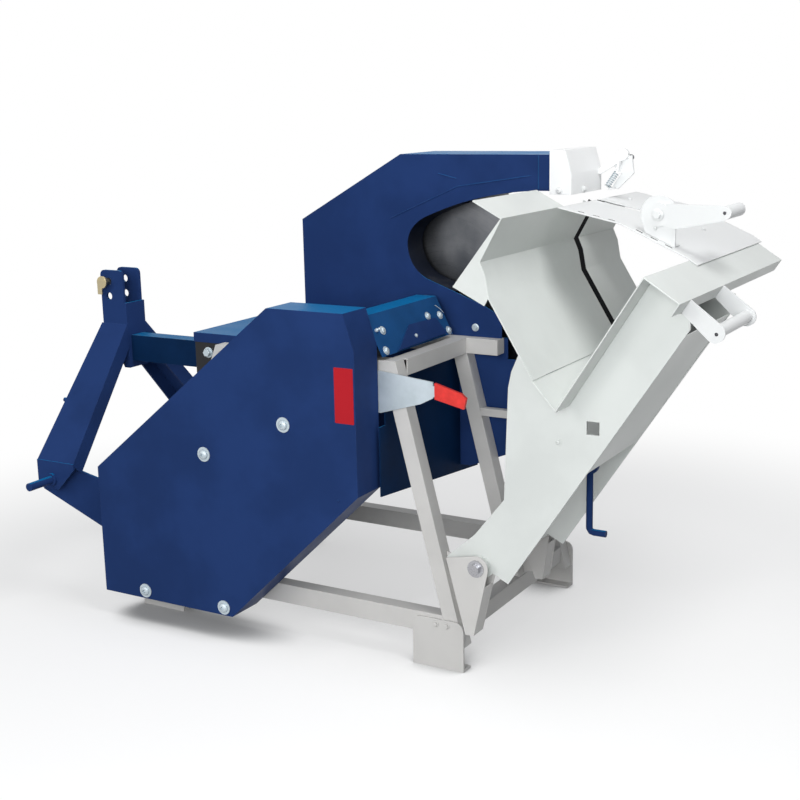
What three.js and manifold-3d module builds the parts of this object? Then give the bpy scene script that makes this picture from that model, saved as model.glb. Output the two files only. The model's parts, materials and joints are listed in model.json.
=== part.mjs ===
// Firewood circular saw: a tilting cradle carries the log into a hooded blade, on a raked
// tube frame with a three-point hitch. Millimetres, z up, x along the frame towards the
// cradle, y along the saw's shaft.
import * as THREE from "three";
import { mergeVertices } from "three/addons/utils/BufferGeometryUtils.js";
import Module from "manifold-3d";

const wasm = await Module();
wasm.setup();

// Counts
const roundSteps = 40;
const arcSteps = 18;
const cornerSteps = 5;
const bladeTeeth = 56;
const coilTurns = 7;
const coilStepsPerTurn = 8;
const wireSides = 5;
const coverSlotsPerPanel = 3;

// Sheet, tube and clearances
const seam = 0.3;
const thinSheet = 3;
const plate = 6;
const tube = 40;
const tubeWall = 3;
const overshoot = 20;

// Frame
const nearFace = -319;
const farFace = 336;
const legRakeShare = 0.2543;
const leftLegRakeShare = 0.42;
const legFootHeight = 60;
const frameTop = 745;
const rightLegTop = 302.6;
const leftLegFoot = -473;
const nearRailLow = 84;
const farRailLow = 100;
const bottomRailHeight = 50;
const farTopRailLeft = -302;
const footWidth = 138;
const footHeight = 125;
const rightFootLeft = 380;
const leftFootLeft = -473;
const footCorner = 22;
const footDepth = 31;
const crossRailLeft = 462;
const crossRailLow = 78;
const crossRailHeight = 45;
const leftCrossRail = -448;
const topRailLeft = 312;
const centreFace = 25;
const centreRailRight = 440;
const leftTopRail = -302;
const leftTopRailStart = -250;
const stopBarLow = 545;
const stopBarHeight = 20;
const stopBarEnd = 490;
const stopPlateFront = 1;
const bufferRadius = 12;
const bufferLength = 13;

// Cradle pivot
const pivot = { x: 563, z: 278 };
const axleRadius = 12;
const axleHeadRadius = 13;
const axleHeadLength = 9;
const washerRadius = 20.5;
const washerThickness = 3;
const clevisEye = 30;
const clevisGap = 46;
const clevisFront = { near: -345, far: 12 };
const clevisHead = [[485, 293], [563, 308], [592, 268]];
const clevisTip = { near: [[556, 110], [534, 109]], far: [[572, 134], [552, 133]] };
const clevisTongue = { drop: 4, inset: [4, 17], leg: [[470, 127], [440, 250], [462, 291]] };
const clevisWebTop = 232;

// Saw
const saw = { x: 223, z: 812 };
const bladeRadius = 350;
const gulletDepth = 9;
const bladePlane = 143;
const bladeThickness = 3.6;
const arborRadius = 17.5;
const bladeBore = 15;
const flangeRadius = 62;
const flangeThickness = 9;
const nutRadius = 22;
const nutThickness = 14;
const arborEnd = 178;
const bearingWidth = 46;
const bearingRadius = 33;
const bearingPlanes = { near: -296, far: 26 };
const bearingBaseWidth = 130;

// Hood
const hoodPlane = 50;
const hoodDepth = 188;
const hoodRoom = 30;
const hoodShoulderRun = 310;
const hoodRight = 571;
const throatRadius = 840;
const throatCap = 87;
const shoulderDrop = 174;
const throatLeft = [170, 960];
const throatUpper = [216, 1039];
const throatLower = [223, 888];
const throatSill = [[305, 858], [391, 826], [440, 800]];
const throatPull = 8;
const throatReturnEnd = 132;
const endStripWidth = 30;
const endStripLift = 1.6;
const hoodTop = pivot.z + throatRadius + throatCap;
const hoodShoulder = hoodTop - shoulderDrop;
const hoodLeft = saw.x - bladeRadius - hoodRoom;
const hoodTopLeft = hoodLeft + hoodShoulderRun;
const hoodSeat = frameTop + seam;
const endBoxWidth = 56.7;
const endBoxRise = 11;
const endBoxHeight = 106;
const endBoxFold = { down: 56, in: 16 };
const endBox = {
  left: hoodRight + seam,
  right: hoodRight + seam + endBoxWidth,
  low: hoodTop + endBoxRise - endBoxHeight,
  fold: hoodTop + endBoxRise - endBoxFold.down,
  top: hoodTop + endBoxRise,
  topRight: hoodRight + seam + endBoxWidth - endBoxFold.in,
};
const endBoxDepth = { from: 46, to: 240 };
const latchReach = { out: 62, down: 18 };
const latchEye = 14;
const latchPin = 6;
const latchPlane = 228;
const latchArmDrop = 48;

// Latch hook and its spring, drawn from the latch's pin
const latchHook = [[-22, -8], [-26, -28], [-4, -46], [-28, -79], [-14, -86], [28, -46], [22, -2]];
const springTop = [-13, -44];
const springFoot = [-36, -76];
const springPlane = 219;
const springSeat = { half: 8, thickness: 3, depth: 7 };
const springRoots = { arm: [[-10, -40], [-6, -12]], tail: [[-35, -84.5], [-18, -83]] };
const wireRadius = 1.5;
const coilRadius = 6.2;

// Casings
const casingFront = 65.3;
const casingBack = 231;
const casingNotch = [450, 690];

// Corners of the lower casing, from the blade's left, lowest and right reach
const casingLeft = [[-3, 98], [127, -32]];
const casingLow = [[-103, -67], [117, -67]];
const casingRight = [[-133, -27], [2, 108]];
const splashPlane = 308.4;
const splashCorners = [[-345, 417], [165, 368.5], [165, 394.7], [65, 394.7], [65, 704.7],
  [-318.7, 704.7], [-318.7, 588], [-345, 588]];
const consoleFold = [[118, 748.3], [140, 748.3], [172, 832], [212, 849], [268, 849], [316, 755]];
const consoleFront = -328;
const consoleBack = 20;

// Belt guard
const guardFace = -432;
const guardBack = -331.6;
const guardCorners = [[-509, 413], [-509, 69], [-86, 69], [300, 437], [300, 782], [272, 870],
  [59, 870]];
const guardBoss = 13;
const guardBosses = [[-20, 725], [180, 725], [-330, 355], [-250, 109]];
const guardBossEnd = -319.3;

// Gearbox and belt drive
const drive = { x: -270, z: 330 };
const largePulley = 118;
const smallPulley = 42;
const pulleyWidth = 26;
const pulleyFront = -402;
const hubRadius = 26;
const beltThickness = 9;
const beltRide = 1;
const beltWidth = 17;
const gearboxHalf = 80;
const gearboxFront = -243.7;
const gearboxBack = -60;
const gearboxCorner = 16;
const ptoPlane = -128;
const ptoLength = 105;
const ptoRadius = 17.5;
const ptoCollar = 34;
const ptoCollarLength = 22;
const splineTeeth = 6;
const splineDepth = 2.6;
const driveShaftRadius = 16;
const hanger = { front: -256, back: -250.3, left: -301, right: -160, top: 744.7, low: 250 };
const hangerSpacer = { x: -168, z: 722, radius: 11 };
const cover = { left: -302, right: -20, front: -260, top: 760, skirt: 25, back: 49.7 };

// Hitch
const hitchCentre = -128;
const ear = { left: -700, right: -620, low: 745, top: 894, thickness: 8, corner: 14 };
const earFace = 38;
const earHoleRadius = 10.5;
const earHoles = [[-672, 821], [-672, 863]];
const tie = { thickness: 8, low: 621, top: 804 };
const hitchLeg = { top: 745, kneeOut: 327, knee: 413, topOut: 38, bottom: 339 };
const hitchLegLeft = -705;
const hitchLegTopWidth = 92;
const hitchLegKneeWidth = 130;
const hitchFlange = 42;
const hitchShoe = { foot: 72, side: 14 };
const lowerPin = { x: -653, z: 366, radius: 11, length: 86, collar: 17, collarLength: 7 };
const strut = { low: 640, height: 73, width: 50 };
const bracePlan = { near: [[-694, -448.7], [-512, -325.3], [-345, -325.3]],
  far: [[-612, 199.3], [-500, 289.7], [-345, 289.7]] };
const braceCorners = [[-700, 339], [-574, 221], [-470, 128], [-395, 128], [-345, 250],
  [-462, 297], [-563, 350], [-594, 368], [-638, 395], [-700, 413]];
const linch = { radius: 9.5, length: 44, ring: 17, wire: 3, lugWidth: 16, lugDrop: 34 };

// Belt-tension lever
const lever = { x: 262, z: 668, eye: 40, pin: 9, front: -326.6, thickness: 4.6 };
const leverBlade = [[250, 706], [299, 721], [446, 706], [446, 668], [413, 651], [304, 619],
  [250, 628]];
const leverGrip = [[452, 705], [522, 686], [534, 676], [528, 650], [452, 667]];
const leverGripWall = 4;
const leverTang = [[440, 699], [505, 680], [505, 660], [440, 673]];

// Cradle sheets, drawn in the plane across the saw's shaft
const troughVertex = [779, 686];
const troughFoot = [725, 746];
const troughRim = [970, 983];
const flangeEdge = [1048, 932];
const lipEdge = [1030, 904];
const wallKnee = [620, 918];
const wallLedge = [611, 967];
const wallFold = [598, 997];
const ridge = [650, 1091];
const roofEdge = [584, 1126];
const wingTip = [534, 940];
const wingFoot = [611, 902];
const coverBend = [808, 1057];
const coverRim = [966, 986];
const coverEdge = [989, 971];
const nearEnd = -390;
const farEnd = 398;
const roofEnd = -60;
const coverFront = -99;
const slotHalf = 15;
const slotFlange = 20;
const slotRight = 762;
const coverSlotLength = 136;
const coverInset = 6;
const ventLength = 17;
const ventWidth = 6;
const ventInset = 12;
const ventPitch = 38;
const ventStart = { left: 58, right: 44 };

// Cradle arms
const armNear = { from: -315, to: -309 };
const armFar = { from: 3, to: 9 };
const armCorners = [[471, 284], [545, 349], [621, 444], [632, 708], [640, 745], [690, 860],
  [940, 1010], [1046, 900], [1046, 868], [631, 242], [590, 262]];
const armEye = 32;
const squareHole = { x: 836, z: 636, half: 15 };
const hingeTubeRadius = 20;
const rodBar = { x: 768, z: 506, radius: 10 };
const backSheetStart = [823, 529];
const backSheetEnd = [1034, 850];
const backSheetDrop = 5;

// Handles and rods
const loopGrip = { x: 1101, z: 866, radius: 14, eye: 21, near: -324, far: -92 };
const loopEar = 5;
const rod = { radius: 8, eye: 21, clearance: 0.5, y: -160, width: 14, low: 344, foot: 42, bend: 12 };
const hold = { x: 889, z: 1080, disc: 43, front: -79, thickness: 6, pin: 8 };
const holdArm = [[908, 1104], [1036, 1103], [1053, 1087], [1040, 1070], [925, 1048], [889, 1060]];
const holdHub = 27;
const holdEnd = { x: 1040, z: 1087, eye: 15 };
const holdGrip = { radius: 15, length: 104, rod: 8 };
const holdStand = { front: -72.4, thickness: 5, leftFoot: 33, rightFoot: 37, footDepth: 34 };

// Materials
function paint(colour, roughness, metalness = 0) {
  return new THREE.MeshStandardMaterial({ color: colour, roughness, metalness });
}
const looks = {
  framePaint: paint(0xc8c6c4, 0.5),
  bluePaint: paint(0x233966, 0.42),
  cradlePaint: paint(0xdfe3e1, 0.45),
  whitePaint: paint(0xf2f3f3, 0.45),
  blackPaint: paint(0x17171a, 0.5),
  zinc: paint(0xb9bcba, 0.38, 0.9),
  steel: paint(0x8f9297, 0.32, 0.95),
  rubber: paint(0x141414, 0.85),
  redGrip: paint(0xd8241f, 0.45),
  castIron: paint(0x3a3d42, 0.6, 0.4),
};

const group = new THREE.Group();
group.name = "firewood_circular_saw";

// Solids from three.js geometry
function solid(geometry) {
  const plain = geometry.clone();
  plain.deleteAttribute("normal");
  plain.deleteAttribute("uv");
  const merged = mergeVertices(plain);
  const places = merged.attributes.position.array;
  const corners = [];
  let volume = 0;
  for (let i = 0; i < merged.index.count; i += 3) {
    const [a, b, c] = [0, 1, 2].map((k) => merged.index.getX(i + k));
    if (a === b || b === c || a === c) continue;
    corners.push(a, b, c);
    const [p, q, r] = [a, b, c].map((n) => new THREE.Vector3().fromArray(places, n * 3));
    volume += p.dot(q.cross(r));
  }
  if (volume < 0) {
    for (let i = 0; i < corners.length; i += 3) {
      [corners[i], corners[i + 1]] = [corners[i + 1], corners[i]];
    }
  }
  return new wasm.Manifold(new wasm.Mesh({
    numProp: 3,
    vertProperties: new Float32Array(places),
    triVerts: new Uint32Array(corners),
  }));
}

function join(...bodies) {
  return bodies.reduce((all, body) => all.add(body));
}

function cut(body, ...tools) {
  return tools.reduce((rest, tool) => rest.subtract(tool), body);
}

function piece(name, body, look) {
  const mesh = body.getMesh();
  const geometry = new THREE.BufferGeometry();
  geometry.setAttribute("position", new THREE.BufferAttribute(mesh.vertProperties, mesh.numProp));
  geometry.setIndex(new THREE.BufferAttribute(mesh.triVerts, 1));
  const flat = geometry.toNonIndexed();
  flat.computeVertexNormals();
  const part = new THREE.Mesh(flat, look);
  part.name = name;
  group.add(part);
}

// Outlines
function outline(corners) {
  return new THREE.Shape(corners.map(([a, b]) => new THREE.Vector2(a, b)));
}

function box2(left, low, right, top) {
  return outline([[left, low], [right, low], [right, top], [left, top]]);
}

function circle(x, z, radius, steps = roundSteps) {
  const shape = new THREE.Shape();
  for (let i = 0; i < steps; i += 1) {
    const turn = (i / steps) * Math.PI * 2;
    const [a, b] = [x + radius * Math.cos(turn), z + radius * Math.sin(turn)];
    if (i === 0) shape.moveTo(a, b);
    else shape.lineTo(a, b);
  }
  shape.closePath();
  return shape;
}

function roundedBox(left, low, right, top, radii) {
  const centres = [[right, low], [right, top], [left, top], [left, low]];
  const points = [];
  centres.forEach(([cx, cz], corner) => {
    const radius = radii[corner];
    const x = cx + (cx === right ? -radius : radius);
    const z = cz + (cz === top ? -radius : radius);
    const start = (corner - 1) * (Math.PI / 2);
    if (radius === 0) {
      points.push([cx, cz]);
      return;
    }
    for (let i = 0; i <= cornerSteps; i += 1) {
      const turn = start + (i / cornerSteps) * (Math.PI / 2);
      points.push([x + radius * Math.cos(turn), z + radius * Math.sin(turn)]);
    }
  });
  return outline(points);
}

// A folded sheet's section: the fold line and the same line set off to its left
function setOff(fold, distance) {
  return fold.map((point, i) => {
    const before = fold[Math.max(i - 1, 0)];
    const after = fold[Math.min(i + 1, fold.length - 1)];
    const way = (a, b) => {
      const run = Math.hypot(b[0] - a[0], b[1] - a[1]);
      return [(b[0] - a[0]) / run, (b[1] - a[1]) / run];
    };
    const first = i === 0 ? way(point, after) : way(before, point);
    const last = i === fold.length - 1 ? first : way(point, after);
    const normals = [first, last].map(([a, b]) => [-b, a]);
    const sum = [normals[0][0] + normals[1][0], normals[0][1] + normals[1][1]];
    const scale = 2 / (sum[0] * sum[0] + sum[1] * sum[1]);
    return [point[0] + sum[0] * scale * distance, point[1] + sum[1] * scale * distance];
  });
}

function folded(fold, thickness) {
  return outline([...fold, ...setOff(fold, thickness).reverse()]);
}

// Thickness along y, along x and along z
function acrossY(shape, from, to) {
  const geometry = new THREE.ExtrudeGeometry(shape, { depth: to - from, bevelEnabled: false });
  geometry.rotateX(Math.PI / 2);
  geometry.translate(0, to, 0);
  return solid(geometry);
}

function acrossX(shape, from, to) {
  const geometry = new THREE.ExtrudeGeometry(shape, { depth: to - from, bevelEnabled: false });
  const turn = new THREE.Matrix4().makeBasis(
    new THREE.Vector3(0, 1, 0), new THREE.Vector3(0, 0, 1), new THREE.Vector3(1, 0, 0));
  geometry.applyMatrix4(turn);
  geometry.translate(from, 0, 0);
  return solid(geometry);
}

function acrossZ(shape, from, to) {
  const geometry = new THREE.ExtrudeGeometry(shape, { depth: to - from, bevelEnabled: false });
  geometry.translate(0, 0, from);
  return solid(geometry);
}

function inFrame(shape, depth, origin, alongU, alongV) {
  const geometry = new THREE.ExtrudeGeometry(shape, { depth, bevelEnabled: false });
  const normal = alongU.clone().cross(alongV);
  geometry.applyMatrix4(new THREE.Matrix4().makeBasis(alongU, alongV, normal));
  geometry.translate(origin.x, origin.y, origin.z);
  return solid(geometry);
}

// A turned body: radius against place along its axis
function turned(profile, axis, centre, steps = roundSteps) {
  const points = profile.map(([radius, place]) => new THREE.Vector2(radius, place));
  const geometry = new THREE.LatheGeometry(points, steps);
  if (axis === "x") geometry.rotateZ(-Math.PI / 2);
  if (axis === "z") geometry.rotateX(Math.PI / 2);
  geometry.translate(centre.x, centre.y, centre.z);
  return solid(geometry);
}

function roundBar(axis, radius, from, to, centre, steps = roundSteps) {
  return turned([[0, from], [radius, from], [radius, to], [0, to]], axis, centre, steps);
}

function barY(x, z, radius, from, to, steps = roundSteps) {
  return roundBar("y", radius, from, to, { x, y: 0, z }, steps);
}

function squareTubeY(left, low, width, height, from, to) {
  const shape = box2(left, low, left + width, low + height);
  const bore = box2(left + tubeWall, low + tubeWall, left + width - tubeWall,
    low + height - tubeWall);
  return cut(acrossY(shape, from, to), acrossY(bore, from - overshoot, to + overshoot));
}

// Feet
function foot(left, outerFace, inward) {
  const shape = roundedBox(left, 0, left + footWidth, footHeight,
    [footCorner / 4, footCorner, footCorner, footCorner / 4]);
  const front = outerFace - inward * (seam + plate);
  const back = outerFace - inward * seam;
  const upright = acrossY(shape, Math.min(front, back), Math.max(front, back));
  const inner = outerFace + inward * footDepth;
  const base = acrossZ(box2(left, Math.min(front, inner), left + footWidth,
    Math.max(front, inner)), 0, plate);
  return join(upright, base);
}

// Raked side frames
function rakedLeg(left, rake, from, to, width) {
  return outline([[left(from), from], [left(from) + width, from], [left(to) + width, to],
    [left(to), to]]);
}

function rightLegEdge(height) {
  return rightLegTop + legRakeShare * (frameTop - height);
}

function leftLegEdge(height) {
  return leftLegFoot + leftLegRakeShare * (height - legFootHeight);
}

function sideFrame(face, railLow, topLeft) {
  const outer = (shape) => acrossY(shape, face, face + tube);
  const bore = (shape) => acrossY(shape, face + tubeWall, face + tube - tubeWall);
  const innerEdge = (edge) => (height) => edge(height) + tubeWall;
  const innerWidth = tube - tubeWall * 2;
  const topLow = frameTop - tube;
  const right = rightLegTop + tube;
  const start = Math.min(topLeft, leftLegEdge(frameTop));
  return cut(
    join(
      outer(rakedLeg(rightLegEdge, legRakeShare, legFootHeight, frameTop, tube)),
      outer(rakedLeg(leftLegEdge, leftLegRakeShare, legFootHeight, frameTop, tube)),
      outer(outline([[leftLegEdge(railLow) + tubeWall, railLow],
        [rightLegEdge(railLow) + tubeWall, railLow],
        [rightLegEdge(railLow + bottomRailHeight) + tubeWall, railLow + bottomRailHeight],
        [leftLegEdge(railLow + bottomRailHeight) + tubeWall, railLow + bottomRailHeight]])),
      outer(box2(start, topLow, right, frameTop))),
    bore(rakedLeg(innerEdge(rightLegEdge), legRakeShare, legFootHeight - overshoot,
      frameTop - tubeWall, innerWidth)),
    bore(rakedLeg(innerEdge(leftLegEdge), leftLegRakeShare, legFootHeight - overshoot,
      frameTop - tubeWall, innerWidth)),
    bore(box2(leftLegEdge(railLow) + tube, railLow + tubeWall, rightLegEdge(frameTop) + tube,
      railLow + bottomRailHeight - tubeWall)),
    bore(box2(start + tubeWall, topLow + tubeWall, right - tubeWall, frameTop - tubeWall)));
}

function centreFrame() {
  const legFoot = crossRailLow + crossRailHeight + seam;
  const rail = cut(
    acrossY(box2(leftTopRail + tube + seam, frameTop - tube, centreRailRight, frameTop),
      centreFace, centreFace + tube),
    acrossY(box2(leftTopRail - overshoot, frameTop - tube + tubeWall, rightLegTop - overshoot,
      frameTop - tubeWall), centreFace + tubeWall, centreFace + tube - tubeWall));
  const leg = cut(
    acrossY(rakedLeg(rightLegEdge, legRakeShare, legFoot, frameTop - tubeWall, tube),
      centreFace, centreFace + tube),
    acrossY(rakedLeg((height) => rightLegEdge(height) + tubeWall, legRakeShare,
      legFoot - overshoot, frameTop - tube, tube - tubeWall * 2),
    centreFace + tubeWall, centreFace + tube - tubeWall));
  const barStart = rightLegEdge(stopBarLow) + tube - tubeWall;
  const bar = acrossY(box2(barStart, stopBarLow, stopBarEnd, stopBarLow + stopBarHeight),
    centreFace, centreFace + stopBarHeight);
  const endPlate = acrossY(box2(stopBarEnd - thinSheet, stopBarLow - thinSheet, stopBarEnd,
    stopBarLow + stopBarHeight + thinSheet), stopPlateFront, centreFace + stopBarHeight);
  return join(rail, leg, bar, endPlate);
}

function swingBuffer() {
  const centre = {
    x: stopBarEnd + seam,
    y: stopPlateFront + bufferRadius,
    z: stopBarLow + stopBarHeight / 2,
  };
  const crown = bufferRadius * 0.75;
  return turned([[0, 0], [bufferRadius, 0], [bufferRadius, bufferLength * 0.7],
    [crown, bufferLength], [0, bufferLength]], "x", centre);
}

function pivotClevis(front, tip) {
  const back = front + clevisGap;
  const webLow = tip[0];
  const webTop = clevisHead[2];
  const share = (clevisWebTop - webLow[1]) / (webTop[1] - webLow[1]);
  const webTopX = webLow[0] + (webTop[0] - webLow[0]) * share;
  const front1 = join(acrossY(outline([...clevisHead, ...tip]), front, front + thinSheet),
    acrossY(circle(pivot.x, pivot.z, clevisEye), front, front + thinSheet));
  const web = acrossY(folded([[webTopX, clevisWebTop], webLow], -thinSheet),
    front, back + thinSheet);
  const { drop, inset, leg } = clevisTongue;
  const tongue = [[webTop[0], webTop[1] - drop], [webLow[0] + inset[0], webLow[1] + inset[1]],
    ...leg.map(([x, z]) => [Math.max(x, rightLegEdge(z) + tube + seam), z])];
  const rear = join(acrossY(outline(tongue), back, back + thinSheet),
    acrossY(circle(pivot.x, pivot.z, clevisEye), back, back + thinSheet));
  const bore = barY(pivot.x, pivot.z, axleRadius + seam, front - overshoot, back + overshoot);
  return cut(join(front1, web, rear), bore);
}

function pivotAxle() {
  const headFrom = clevisFront.near - washerThickness - seam;
  const end = clevisFront.far + clevisGap + thinSheet;
  const nutFrom = end + seam;
  const bar = barY(pivot.x, pivot.z, axleRadius, headFrom - axleHeadLength, nutFrom);
  const washer = barY(pivot.x, pivot.z, washerRadius, headFrom, headFrom + washerThickness);
  const head = barY(pivot.x, pivot.z, axleHeadRadius, headFrom - axleHeadLength, headFrom, 6);
  const nut = barY(pivot.x, pivot.z, axleHeadRadius, nutFrom, nutFrom + axleHeadLength, 6);
  return join(bar, washer, head, nut);
}

// Hood
function arcPoint(radius, turn) {
  return [pivot.x + radius * Math.cos(turn), pivot.z + radius * Math.sin(turn)];
}

function throatCurve() {
  const points = [];
  const startTurn = Math.acos((hoodRight - pivot.x) / throatRadius);
  const endTurn = Math.PI / 2 + Math.asin((pivot.x - throatUpper[0]) / throatRadius);
  for (let i = 0; i <= arcSteps; i += 1) {
    points.push(arcPoint(throatRadius, startTurn + (endTurn - startTurn) * (i / arcSteps)));
  }
  const upper = new THREE.QuadraticBezierCurve(
    new THREE.Vector2(...points[points.length - 1]),
    new THREE.Vector2(throatLeft[0] - throatPull, (throatUpper[1] * 2 + throatLeft[1]) / 3),
    new THREE.Vector2(...throatLeft));
  const lower = new THREE.QuadraticBezierCurve(new THREE.Vector2(...throatLeft),
    new THREE.Vector2(throatLeft[0] + throatPull, (throatLower[1] * 2 + throatLeft[1]) / 3),
    new THREE.Vector2(...throatLower));
  [upper, lower].forEach((curve) => {
    curve.getPoints(arcSteps / 2).slice(1).forEach((p) => points.push([p.x, p.y]));
  });
  return points;
}

function hoodOutline() {
  const sillEnd = throatSill[throatSill.length - 1];
  return outline([[hoodLeft, hoodSeat], [hoodLeft, hoodShoulder], [hoodTopLeft, hoodTop],
    [hoodRight, hoodTop], ...throatCurve(), ...throatSill, [sillEnd[0], hoodSeat]]);
}

function hoodFront() {
  const sheet = acrossY(hoodOutline(), hoodPlane, hoodPlane + thinSheet);
  const startTurn = Math.acos((hoodRight - pivot.x) / throatRadius);
  const low = arcPoint(throatRadius, startTurn)[1];
  const strip = acrossY(box2(hoodRight - endStripWidth, low + plate, hoodRight, hoodTop),
    hoodPlane - endStripLift, hoodPlane + thinSheet);
  const hole = barY(saw.x, saw.z, arborRadius + plate, hoodPlane - overshoot,
    hoodPlane + overshoot);
  return cut(join(sheet, strip), hole);
}

function hoodShell() {
  const start = hoodPlane + thinSheet + seam;
  const back = hoodPlane + hoodDepth;
  const rim = acrossY(folded([[hoodRight, hoodTop], [hoodTopLeft, hoodTop],
    [hoodLeft, hoodShoulder], [hoodLeft, hoodSeat]], thinSheet), start, back);
  return join(rim, acrossY(hoodOutline(), back - thinSheet, back));
}

function throatReturn() {
  const curve = throatCurve().slice(arcSteps - 5);
  const start = hoodPlane + thinSheet + seam;
  return acrossY(folded([...curve, throatSill[0]], -thinSheet), start, throatReturnEnd);
}

function fromLatch([x, z]) {
  return [endBox.right + latchReach.out + x, endBox.top - latchReach.down + z];
}

function latchArm() {
  const from = latchPlane - plate - seam;
  const [x, z] = fromLatch([0, 0]);
  const arm = acrossY(outline([[endBox.right - thinSheet, z - latchArmDrop],
    [endBox.right + plate, z - latchArmDrop], [x, z - latchEye], [x, z + latchEye],
    [endBox.right - thinSheet, endBox.fold]]), from, from + plate);
  const eye = acrossY(circle(x, z, latchEye), from, from + plate);
  const pin = barY(x, z, latchPin, from, latchPlane + plate + washerThickness);
  return join(arm, eye, pin, springSeatBody(springTop, springFoot, springRoots.arm,
    from + plate));
}

// A strip of even width between two points
function strip(from, to, width) {
  const run = Math.hypot(to[0] - from[0], to[1] - from[1]);
  const side = [(-(to[1] - from[1]) / run) * (width / 2), ((to[0] - from[0]) / run) * (width / 2)];
  return outline([[from[0] - side[0], from[1] - side[1]], [to[0] - side[0], to[1] - side[1]],
    [to[0] + side[0], to[1] + side[1]], [from[0] + side[0], from[1] + side[1]]]);
}

// A spring seat: a small plate square to the spring with a stem to what carries it
function springSeatBody(at, other, root, back) {
  const [place, far] = [at, other].map(fromLatch);
  const start = towards(place, far, -(wireRadius + seam));
  const end = towards(place, far, -(wireRadius + seam + springSeat.thickness));
  const { half, depth } = springSeat;
  return join(acrossY(strip(start, end, half * 2), springPlane - depth, back),
    acrossY(strip(...root.map(fromLatch), half / 2), springPlane - depth, back));
}

function endBoxBody() {
  const { left, right, low, fold, top, topRight } = endBox;
  const profile = outline([[left, low], [right, low], [right, fold], [topRight, top],
    [left, top]]);
  const inner = outline([[left - overshoot, low - overshoot], [right - thinSheet, low - overshoot],
    [right - thinSheet, fold - thinSheet / 2], [topRight - thinSheet, top - thinSheet],
    [left - overshoot, top - thinSheet]]);
  const shell = cut(acrossY(profile, endBoxDepth.from, endBoxDepth.to),
    acrossY(inner, endBoxDepth.from + thinSheet, endBoxDepth.to - thinSheet));
  return join(shell, latchArm());
}

function latchBody() {
  const from = latchPlane;
  const [x, z] = fromLatch([0, 0]);
  const hook = acrossY(outline(latchHook.map(fromLatch)), from, from + plate);
  const eye = acrossY(circle(x, z, latchEye), from, from + plate);
  const bore = barY(x, z, latchPin + seam, from - overshoot, from + overshoot);
  const seat = springSeatBody(springFoot, springTop, springRoots.tail, from + plate);
  return cut(join(hook, eye, seat), bore);
}

// The latch spring: one tube wound along a straight line, its ends run straight
class CoilCurve extends THREE.Curve {
  constructor(start, end, radius, turns, lead) {
    super();
    Object.assign(this, { start, end, radius, turns, lead });
    this.axis = end.clone().sub(start);
    this.length3 = this.axis.length();
    this.axis.normalize();
    this.side = new THREE.Vector3(0, 1, 0);
    this.up = this.side.clone().cross(this.axis);
  }

  getPoint(t) {
    const leadShare = this.lead / (this.length3 + this.lead * 2);
    const wound = Math.min(Math.max((t - leadShare) / (1 - leadShare * 2), 0), 1);
    const turn = wound * this.turns * Math.PI * 2;
    const place = wound * this.length3;
    const out = t < leadShare ? (leadShare - t) / leadShare
      : Math.max((t - (1 - leadShare)) / leadShare, 0);
    const sign = t < leadShare ? -1 : 1;
    return this.start.clone()
      .addScaledVector(this.axis, place)
      .addScaledVector(this.side, this.radius * Math.cos(turn))
      .addScaledVector(this.up, this.radius * Math.sin(turn) + sign * out * this.lead);
  }
}

function latchSpring() {
  const [start, end] = [springFoot, springTop].map(fromLatch)
    .map(([x, z]) => new THREE.Vector3(x, springPlane, z));
  const curve = new CoilCurve(start, end, coilRadius, coilTurns, wireRadius * 2);
  const pitch = start.distanceTo(end) / coilTurns;
  console.log("latch spring: least gap to itself", (pitch - wireRadius * 2).toFixed(2), "mm");
  const steps = coilTurns * coilStepsPerTurn + 2;
  const geometry = new THREE.TubeGeometry(curve, steps, wireRadius, wireSides, false);
  return solid(capped(geometry, steps));
}

function capped(geometry, steps) {
  const plain = geometry.clone();
  plain.deleteAttribute("uv");
  plain.deleteAttribute("normal");
  const places = Array.from(plain.attributes.position.array);
  const index = Array.from(plain.index.array);
  const ring = wireSides + 1;
  [0, steps].forEach((row, side) => {
    const middle = [0, 1, 2].map((k) => {
      let sum = 0;
      for (let i = 0; i < wireSides; i += 1) sum += places[(row * ring + i) * 3 + k];
      return sum / wireSides;
    });
    const centre = places.length / 3;
    places.push(...middle);
    for (let i = 0; i < wireSides; i += 1) {
      const [a, b] = [row * ring + i, row * ring + i + 1];
      if (side === 0) index.push(centre, a, b);
      else index.push(centre, b, a);
    }
  });
  const closed = new THREE.BufferGeometry();
  closed.setAttribute("position", new THREE.Float32BufferAttribute(places, 3));
  closed.setIndex(index);
  return closed;
}

// Casings and covers
function lowerCasing() {
  const reach = (way, corners) => corners.map(([x, z]) =>
    [saw.x + bladeRadius * way + x, saw.z - bladeRadius + z]);
  const left = reach(-1, casingLeft);
  const right = reach(1, casingRight);
  const seat = frameTop - seam;
  const floor = [[left[0][0], seat], ...left, ...reach(0, casingLow), ...right,
    [right[1][0], casingNotch[1]]];
  const tub = acrossY(outline([...floor, [casingNotch[0], casingNotch[1]],
    [casingNotch[0], seat]]), casingFront, casingBack);
  const inner = setOff(floor, thinSheet);
  const lift = frameTop + overshoot;
  const hollow = outline([[inner[0][0], lift], ...inner.slice(1, 7), [inner[7][0], lift]]);
  return cut(tub, acrossY(hollow, casingFront + thinSheet, casingBack - thinSheet));
}

function bearingConsole() {
  return join(acrossY(folded(consoleFold, -thinSheet), consoleFront, consoleBack),
    acrossY(folded(consoleFold.slice(0, 3), -thinSheet), consoleFront, hoodPlane - seam));
}

function guardCover() {
  const outer = outline(guardCorners);
  const inner = setOff([...guardCorners, guardCorners[0], guardCorners[1]], thinSheet)
    .slice(1, guardCorners.length + 1);
  return cut(acrossY(outer, guardFace, guardBack - seam),
    acrossY(outline(inner), guardFace + thinSheet, guardBack + overshoot));
}

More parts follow.
